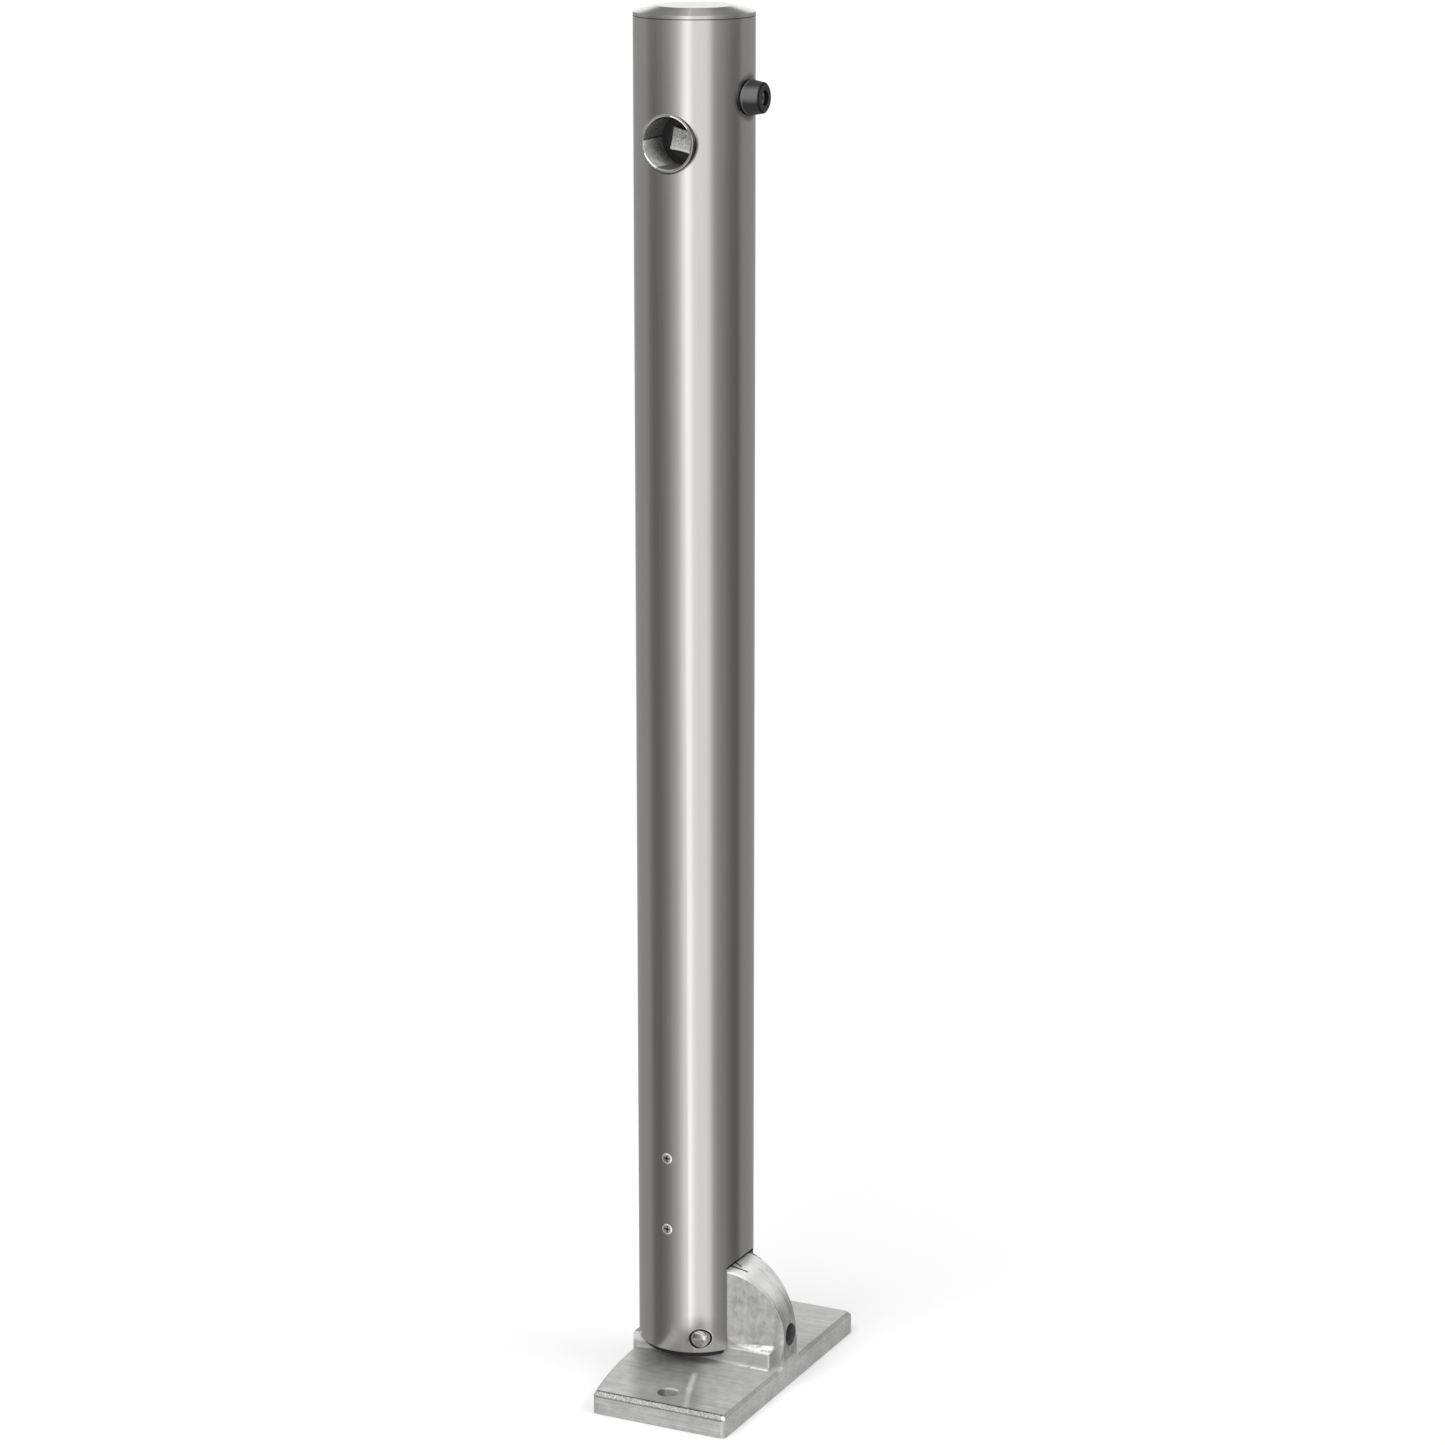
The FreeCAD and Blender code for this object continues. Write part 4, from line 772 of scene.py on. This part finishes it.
def moulded_buffer(look):
    """Rubber cone: painted highlight along its side, painted shade at its foot and in its
    recess, a dark edge at its tip, a painted light line by its foot.
    """
    paint = finish("buffer rubber")
    place = paint.place()
    x, y, z = paint.axes(place)
    out = (y * y + (z - BUFFER_HEIGHT) ** 2.0).root()
    off_tube = (x * x + y * y).root() - TUBE_RADIUS
    # Painted shade where the foot meets the tube, a painted light line just beyond it
    foot = 1.0 - paint.step(off_tube, 0.0005, 0.0009)
    line = paint.window(off_tube, 0.0011, 0.0015, 0.0004)
    tip = (paint.step(x, BUFFER_HIGH.x - 0.0011, BUFFER_HIGH.x - 0.0008)
           * paint.step(out, BUFFER_TIP - 0.0011, BUFFER_TIP - 0.0007))
    # Painted shade in the tip's recess
    recess = 1.0 - paint.step(out, BUFFER_RECESS, BUFFER_RECESS + 0.0003)
    spots = paint.noise(place, 0.0007, 3.0, 0.6)
    clouds = paint.noise(place, 0.006, 3.0)
    # Painted highlight along the side, above the middle
    side_highlight = (paint.window(z - BUFFER_HEIGHT, 0.001, 0.0045, 0.0045)
             * paint.step(out, 0.009, 0.0098))
    level = 0.04 + 0.1 * spots + 0.1 * clouds + 0.75 * side_highlight
    level = level * (1.0 - 0.9 * foot) * (1.0 - 0.7 * tip) * (1.0 - 0.8 * recess)
    rubber = paint.blend(level, (0, 0, 0), look.rubber)
    rubber = paint.blend(line * 0.3, rubber, look.line)
    rough = 0.45 + 0.1 * (clouds - 0.5) + 0.4 * foot.most(tip)
    return paint.surface(base_color=rubber, roughness=rough, specular_ior_level=0.2,
                         normal=paint.bump(spots, 0.000012))


def screw_heads_steel(look):
    """Domed screw heads with a painted light rim and painted shade in the cross recess."""
    paint = finish("screw steel")
    place = paint.place()
    x, y, z = paint.axes(place)
    middle = (SCREWS_LOW.x + SCREWS_HIGH.x) / 2
    far = [((x - middle) ** 2.0 + (z - height) ** 2.0).root()
           for height in (SCREWS_LOW.z + SCREW_EDGE, SCREWS_HIGH.z - SCREW_EDGE)]
    off = far[0].least(far[1])
    # Painted shade in the recess, a painted light rim round the head
    recess_shade = paint.step(y - SCREWS_LOW.y, 0.0001, 0.0002)
    rim = paint.step(off, look.head_radius * 0.72, look.head_radius * 0.85)
    specks = paint.noise(place, 0.0011, 2.0, 0.6)
    level = (0.45 + 0.9 * (specks - 0.4) + 0.35 * rim) * (1.0 - 0.97 * recess_shade)
    steel = paint.blend(level, (0, 0, 0), look.steel)
    dome = (1.0 - (off / look.head_radius) ** 2.0) * (1.0 - recess_shade)
    return paint.surface(base_color=steel, metallic=0.75, roughness=0.22,
                         normal=paint.bump(dome, 0.0007))


def bare_metal(name, colour, rough):
    """Plain metal with a faint grain in colour, gloss and relief."""
    paint = finish(name)
    place = paint.place()
    spots = paint.noise(place, 0.0008, 3.0, 0.6)
    clouds = paint.noise(place, 0.0096, 2.0)
    shade = paint.blend(0.86 + 0.1 * spots + 0.1 * clouds, (0, 0, 0), colour)
    return paint.surface(base_color=shade, metallic=1.0,
                         roughness=rough - 0.04 + 0.08 * spots,
                         normal=paint.bump(spots, 0.00001))


def matt_plastic(look):
    """Moulded plastic with a fine grain and a slightly uneven gloss."""
    paint = finish("cheek plastic")
    place = paint.place()
    spots = paint.noise(place, 0.0006, 3.0, 0.6)
    clouds = paint.noise(place, 0.0084, 3.0)
    shade = paint.blend(0.7 + 0.3 * spots, (0, 0, 0), look.plastic)
    return paint.surface(base_color=shade, roughness=0.5 + 0.15 * (clouds - 0.5),
                         specular_ior_level=0.5, normal=paint.bump(spots, 0.00001))


def domed_pin(sizes):
    """Pin along Y with both ends rounded, as one closed skin about the pivot."""
    turns, steps = 72, 14
    shoulder = PIN_END - sizes.dome
    quarter = [math.pi / 2 * step / steps for step in range(1, steps + 1)]
    outline = [(sizes.radius * math.sin(a), shoulder + sizes.dome * math.cos(a))
               for a in quarter]
    outline += [(radius, -across) for radius, across in reversed(outline)]
    skin = bmesh.new()
    tips = [skin.verts.new((PIVOT.x, side * PIN_END, PIVOT.z)) for side in (1, -1)]
    rings = []
    for radius, across in outline:
        rings.append([skin.verts.new((
            PIVOT.x + radius * math.cos(2 * math.pi * number / turns), across,
            PIVOT.z + radius * math.sin(2 * math.pi * number / turns)))
            for number in range(turns)])
    for number in range(turns):
        after = (number + 1) % turns
        skin.faces.new((tips[0], rings[0][after], rings[0][number]))
        skin.faces.new((tips[1], rings[-1][number], rings[-1][after]))
        for one, two in zip(rings, rings[1:]):
            skin.faces.new((one[number], one[after], two[after], two[number]))
    bmesh.ops.recalc_face_normals(skin, faces=skin.faces)
    for face in skin.faces:
        face.smooth = True
    mesh = bpy.data.meshes.new("domed_pin")
    skin.to_mesh(mesh)
    skin.free()
    return new_object("domed_pin", mesh)


def screw_tree(material):
    """Geometry tree: cross-recessed heads in a row, one for each guide screw."""
    tree = bpy.data.node_groups.new("guide screw heads", "GeometryNodeTree")
    face = tree.interface
    face.new_socket("Geometry", in_out="INPUT", socket_type="NodeSocketGeometry")
    for name in ("Head radius", "Head height", "Recess width", "Recess length",
                 "Recess depth", "Spacing"):
        face.new_socket(name, in_out="INPUT", socket_type="NodeSocketFloat")
    face.new_socket("Geometry", in_out="OUTPUT", socket_type="NodeSocketGeometry")
    nodes, links = tree.nodes, tree.links

    def add(kind, settings=None, inputs=None):
        node = nodes.new(kind)
        for key, value in (settings or {}).items():
            setattr(node, key, value)
        for key, value in (inputs or {}).items():
            if isinstance(value, bpy.types.NodeSocket):
                links.new(value, node.inputs[key])
            else:
                node.inputs[key].default_value = value
        return node

    given = add("NodeGroupInput").outputs
    head = add("GeometryNodeMeshCylinder", {"fill_type": "TRIANGLE_FAN"},
               {"Vertices": 40, "Radius": given["Head radius"],
                "Depth": given["Head height"]})
    cutters = []
    for across, along in (("Recess width", "Recess length"),
                          ("Recess length", "Recess width")):
        block = add("ShaderNodeCombineXYZ", inputs={
            0: given[across], 1: given[along], 2: given["Recess depth"]})
        cutters.append(add("GeometryNodeMeshCube", inputs={"Size": block.outputs[0]}))
    cross = add("GeometryNodeMeshBoolean", {"operation": "UNION", "solver": "EXACT"})
    for cutter in cutters:
        links.new(cutter.outputs["Mesh"], cross.inputs["Mesh 2"])
    lift = add("ShaderNodeMath", {"operation": "MULTIPLY"},
               {0: given["Head height"], 1: 0.5})
    upper = add("ShaderNodeCombineXYZ", inputs={2: lift.outputs[0]})
    raised = add("GeometryNodeTransform", inputs={
        "Geometry": cross.outputs["Mesh"], "Translation": upper.outputs[0]})
    cut = add("GeometryNodeMeshBoolean", {"operation": "DIFFERENCE", "solver": "EXACT"},
              {"Mesh 1": head.outputs["Mesh"]})
    links.new(raised.outputs["Geometry"], cut.inputs["Mesh 2"])
    offset = add("ShaderNodeCombineXYZ", inputs={1: given["Spacing"]})
    row = add("GeometryNodeMeshLine", {"mode": "OFFSET"},
              {"Count": 2, "Offset": offset.outputs[0]})
    copies = add("GeometryNodeInstanceOnPoints", inputs={
        "Points": row.outputs["Mesh"], "Instance": cut.outputs["Mesh"]})
    solid = add("GeometryNodeRealizeInstances", inputs={
        "Geometry": copies.outputs["Instances"]})
    dressed = add("GeometryNodeSetMaterial", inputs={"Geometry": solid.outputs["Geometry"],
                                                     "Material": material})
    result = add("NodeGroupOutput")
    links.new(dressed.outputs["Geometry"], result.inputs["Geometry"])
    return tree


def grown(name, tree, sizes):
    """Mesh that a geometry tree makes from the named sizes."""
    seed = new_object(name, bpy.data.meshes.new(name))
    modifier = seed.modifiers.new("shape", "NODES")
    modifier.node_group = tree
    for item in tree.interface.items_tree:
        if item.in_out == "INPUT" and item.name in sizes:
            modifier[item.identifier] = sizes[item.name]
    bpy.context.view_layer.update()
    graph = bpy.context.evaluated_depsgraph_get()
    mesh = bpy.data.meshes.new_from_object(seed.evaluated_get(graph))
    seed.modifiers.remove(modifier)
    seed.data = mesh
    mesh.name = name
    return seed


def add_floor(studio):
    """Pale paper that keeps the object's shadow and fades to plain white round it."""
    mesh = bpy.data.meshes.new("floor")
    corners = [(-1, -1), (1, -1), (1, 1), (-1, 1)]
    mesh.from_pydata([(x * FLOOR_HALF, y * FLOOR_HALF, -FLOOR_DROP) for x, y in corners],
                     [], [(0, 1, 2, 3)])
    floor = new_object("floor", mesh)
    paint = finish("pale floor")
    x, y = paint.axes(paint.place())[:2]
    far = paint.step((x * x + y * y).root(), 0.16, 0.75)
    seen = paint.add("LightPath", output="Is Camera Ray")
    paper = paint.add("BsdfDiffuse", inputs={"Color": studio.floor})
    white = paint.add("Emission", inputs={"Color": (1, 1, 1), "Strength": 1.0})
    mixed = paint.add("MixShader", inputs={0: far * seen, 1: paper, 2: white})
    paint.add("OutputMaterial", inputs={"Surface": mixed})
    mesh.materials.append(paint.owner)
    floor.visible_glossy = False


def add_tent(studio):
    """Round reflector tent: graded cards that only polished metal sees."""
    mesh = bpy.data.meshes.new("reflector_tent")
    spots, faces = [], []
    for card in range(TENT_CARDS):
        turn = 2 * math.pi * card / TENT_CARDS
        for z in (TENT_LOW, TENT_HIGH):
            spots.append((TENT_RADIUS * math.cos(turn), TENT_RADIUS * math.sin(turn), z))
        here, there = 2 * card, 2 * ((card + 1) % TENT_CARDS)
        faces.append((here, here + 1, there + 1, there))
    mesh.from_pydata(spots, [], faces)
    tent = new_object("reflector_tent", mesh)

    paint = finish("reflector cards")
    x, y, z = paint.axes(paint.place())
    # Angle from the camera's side of the tent, positive towards the camera's right
    heading = studio.heading
    right = x * math.cos(heading) + y * math.sin(heading)
    near = x * math.sin(heading) - y * math.cos(heading)
    turn = right.turn(near) / (2 * math.pi) + 0.5
    bands = paint.ramp(turn, [((degrees + 180) / 360, level / TENT_PEAK)
                              for degrees, level in TENT_BANDS]) * TENT_PEAK
    rise = (z - EYE_LEVEL).turn(TENT_RADIUS) / math.radians(TENT_TOP)
    sky = paint.ramp(rise, [(degrees / TENT_TOP, level / TENT_PEAK)
                            for degrees, level in TENT_RISE]) * TENT_PEAK
    above = paint.step(rise, -0.04, 0.04)
    glow = paint.add("Emission", inputs={"Strength": bands * (1.0 - above) + above * sky})
    paint.add("OutputMaterial", inputs={"Surface": glow})
    mesh.materials.append(paint.owner)
    tent.visible_camera = False
    tent.visible_diffuse = False
    tent.visible_transmission = False
    tent.visible_shadow = False


def add_lamps(studio):
    """A broad soft lamp over the camera's left and a weaker one over its right."""
    for name, side, height, width, power in LAMPS:
        light = bpy.data.lights.new(name, "AREA")
        light.shape = "SQUARE"
        light.size = width
        light.energy = power
        lamp = new_object(name, light)
        turn = studio.heading + math.radians(side)
        lamp.location = (LAMP_DISTANCE * math.sin(turn), -LAMP_DISTANCE * math.cos(turn),
                         height)
        aim = LAMP_AIM - lamp.location
        lamp.rotation_euler = aim.to_track_quat("-Z", "Y").to_euler()
        lamp.visible_glossy = False


def add_world():
    """White air for the camera and in polished metal, a dimmer glow on matt surfaces."""
    world = bpy.data.worlds.new("studio")
    bpy.context.scene.world = world
    air = Shader(world)
    seen = air.add("LightPath", output="Is Camera Ray")
    polished = air.add("LightPath", output="Is Glossy Ray")
    through = air.add("LightPath", output="Is Transmission Ray")
    white = seen.most(polished).most(through)
    level = white + (1.0 - white) * 0.72
    glow = air.add("Background", inputs={"Color": (1, 1, 1), "Strength": level})
    air.add("OutputWorld", inputs={"Surface": glow})


def add_camera(studio):
    """Camera where the photograph was taken from, with a long lens."""
    camera = bpy.data.cameras.new("camera")
    camera.sensor_width = 36.0
    camera.lens = CAMERA_LENS
    camera.clip_end = 60.0
    holder = new_object("camera", camera)
    holder.location = CAMERA_PLACE
    holder.rotation_euler = (math.pi / 2 - studio.pitch, 0, studio.heading)
    bpy.context.scene.camera = holder


class BOLLARD_OT_stage(Operator):
    """Lay the floor, hang the reflector tent, set lamps and camera"""
    bl_idname = "bollard.stage"
    bl_label = "Studio"

    def execute(self, context):
        studio = context.scene.bollard_studio
        add_floor(studio)
        add_tent(studio)
        add_lamps(studio)
        add_world()
        add_camera(studio)
        return {"FINISHED"}


class BOLLARD_OT_post(Operator):
    """Brush the post tube and turn its cap"""
    bl_idname = "bollard.post"
    bl_label = "Post and cap"

    def execute(self, context):
        look = context.scene.bollard_post
        heading = context.scene.bollard_studio.heading
        dress(brushed_post(look), "post_tube")
        dress(turned_cap(look, heading), "top_cap")
        return {"FINISHED"}


class BOLLARD_OT_foot(Operator):
    """Finish the cast foot"""
    bl_idname = "bollard.foot"
    bl_label = "Cast foot"

    def execute(self, context):
        look = context.scene.bollard_foot
        heading = context.scene.bollard_studio.heading
        dress(cast_foot(look, heading), "base_casting")
        return {"FINISHED"}


class BOLLARD_OT_lock(Operator):
    """Finish the key lock and the pieces it drives inside the post"""
    bl_idname = "bollard.lock"
    bl_label = "Key lock"

    def execute(self, context):
        look = context.scene.bollard_lock
        dress(rolled_sleeve(look), "lock_sleeve")
        dress(cast_spindle(look), "key_spindle")
        dress(bare_metal("blackened steel", look.black, 0.4), "lock_plate")
        dress(bare_metal("plated steel", look.plated, 0.3),
              "crank_lever", "rod_yoke", "lock_rod", "yoke_nut")
        dress(bare_metal("spring wire", look.wire, 0.25), "spindle_clip", "bolt_spring")
        return {"FINISHED"}


class BOLLARD_OT_pivot(Operator):
    """Finish pin, bushes, bolt, bearing cheeks and guide"""
    bl_idname = "bollard.pivot"
    bl_label = "Pivot and bolt"

    def execute(self, context):
        look = context.scene.bollard_pivot
        polished = bare_metal("polished pin", look.polished, 0.16)
        dress(polished, "crank_pin", "lock_bolt")
        pin = domed_pin(context.scene.bollard_pin)
        pin.data.materials.append(polished)
        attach(pin, "post")
        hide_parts("pivot_pin")
        dress(bare_metal("bush bronze", look.bronze, 0.35),
              "pivot_bush_near", "pivot_bush_far")
        dress(matt_plastic(look), "bearing_cheek_near", "bearing_cheek_far",
              "guide_block", "spring_stop")
        return {"FINISHED"}


class BOLLARD_OT_buffer(Operator):
    """Finish the rubber buffer and its fastening"""
    bl_idname = "bollard.buffer"
    bl_label = "Rubber buffer"

    def execute(self, context):
        look = context.scene.bollard_buffer
        dress(moulded_buffer(look), "rubber_buffer")
        dress(bare_metal("fastener steel", look.steel, 0.3),
              "buffer_screw", "buffer_washer", "buffer_insert")
        return {"FINISHED"}


class BOLLARD_OT_screws(Operator):
    """Set the cross-recessed heads of the two guide screws"""
    bl_idname = "bollard.screws"
    bl_label = "Guide screws"

    def execute(self, context):
        sizes = context.scene.bollard_screws
        tree = screw_tree(screw_heads_steel(sizes))
        heads = grown("guide_screw_heads", tree, {
            "Head radius": sizes.head_radius, "Head height": sizes.head_height,
            "Recess width": sizes.recess_width, "Recess length": sizes.recess_length,
            "Recess depth": sizes.recess_depth,
            "Spacing": SCREWS_HIGH.z - SCREWS_LOW.z - 2 * SCREW_EDGE})
        # The tree's row runs up the post, its heads facing the key side
        middle = (SCREWS_LOW.x + SCREWS_HIGH.x) / 2
        for vertex in heads.data.vertices:
            across, up, out = vertex.co
            vertex.co = (middle - across, SCREWS_LOW.y - out + sizes.head_height / 2,
                         SCREWS_LOW.z + SCREW_EDGE + up)
        heads.data.update()
        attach(heads, "post")
        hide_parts("guide_screws")
        return {"FINISHED"}


class BOLLARD_PT_panel(Panel):
    """Sizes, colours and steps of the bollard"""
    bl_idname = "BOLLARD_PT_panel"
    bl_label = "Fold-down bollard"
    bl_space_type = "VIEW_3D"
    bl_region_type = "UI"
    bl_category = "Bollard"

    def draw(self, context):
        for name, group in GROUPS.items():
            box = self.layout.box()
            settings = getattr(context.scene, name)
            for key in group.__annotations__:
                box.prop(settings, key)
        for step in STEPS:
            self.layout.operator(step.bl_idname)


GROUPS = {
    "bollard_post": PostFinish,
    "bollard_foot": FootFinish,
    "bollard_lock": LockFinish,
    "bollard_pivot": PivotFinish,
    "bollard_pin": PinSizes,
    "bollard_buffer": BufferFinish,
    "bollard_screws": ScrewSizes,
    "bollard_studio": StudioSettings,
}
STEPS = (BOLLARD_OT_stage, BOLLARD_OT_post, BOLLARD_OT_foot, BOLLARD_OT_lock,
         BOLLARD_OT_pivot, BOLLARD_OT_buffer, BOLLARD_OT_screws)


def register():
    """Register the classes and hang the settings on the scene."""
    for kind in (*GROUPS.values(), *STEPS, BOLLARD_PT_panel):
        bpy.utils.register_class(kind)
    for name, group in GROUPS.items():
        setattr(bpy.types.Scene, name, PointerProperty(type=group))


def unregister():
    """Take settings and classes away again."""
    for name in GROUPS:
        delattr(bpy.types.Scene, name)
    for kind in reversed((*GROUPS.values(), *STEPS, BOLLARD_PT_panel)):
        bpy.utils.unregister_class(kind)


def main():
    """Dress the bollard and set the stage."""
    register()
    bpy.ops.bollard.stage()
    bpy.ops.bollard.post()
    bpy.ops.bollard.foot()
    bpy.ops.bollard.lock()
    bpy.ops.bollard.pivot()
    bpy.ops.bollard.buffer()
    bpy.ops.bollard.screws()
    bpy.context.scene.view_settings.view_transform = "Standard"


if __name__ == "__main__":
    main()
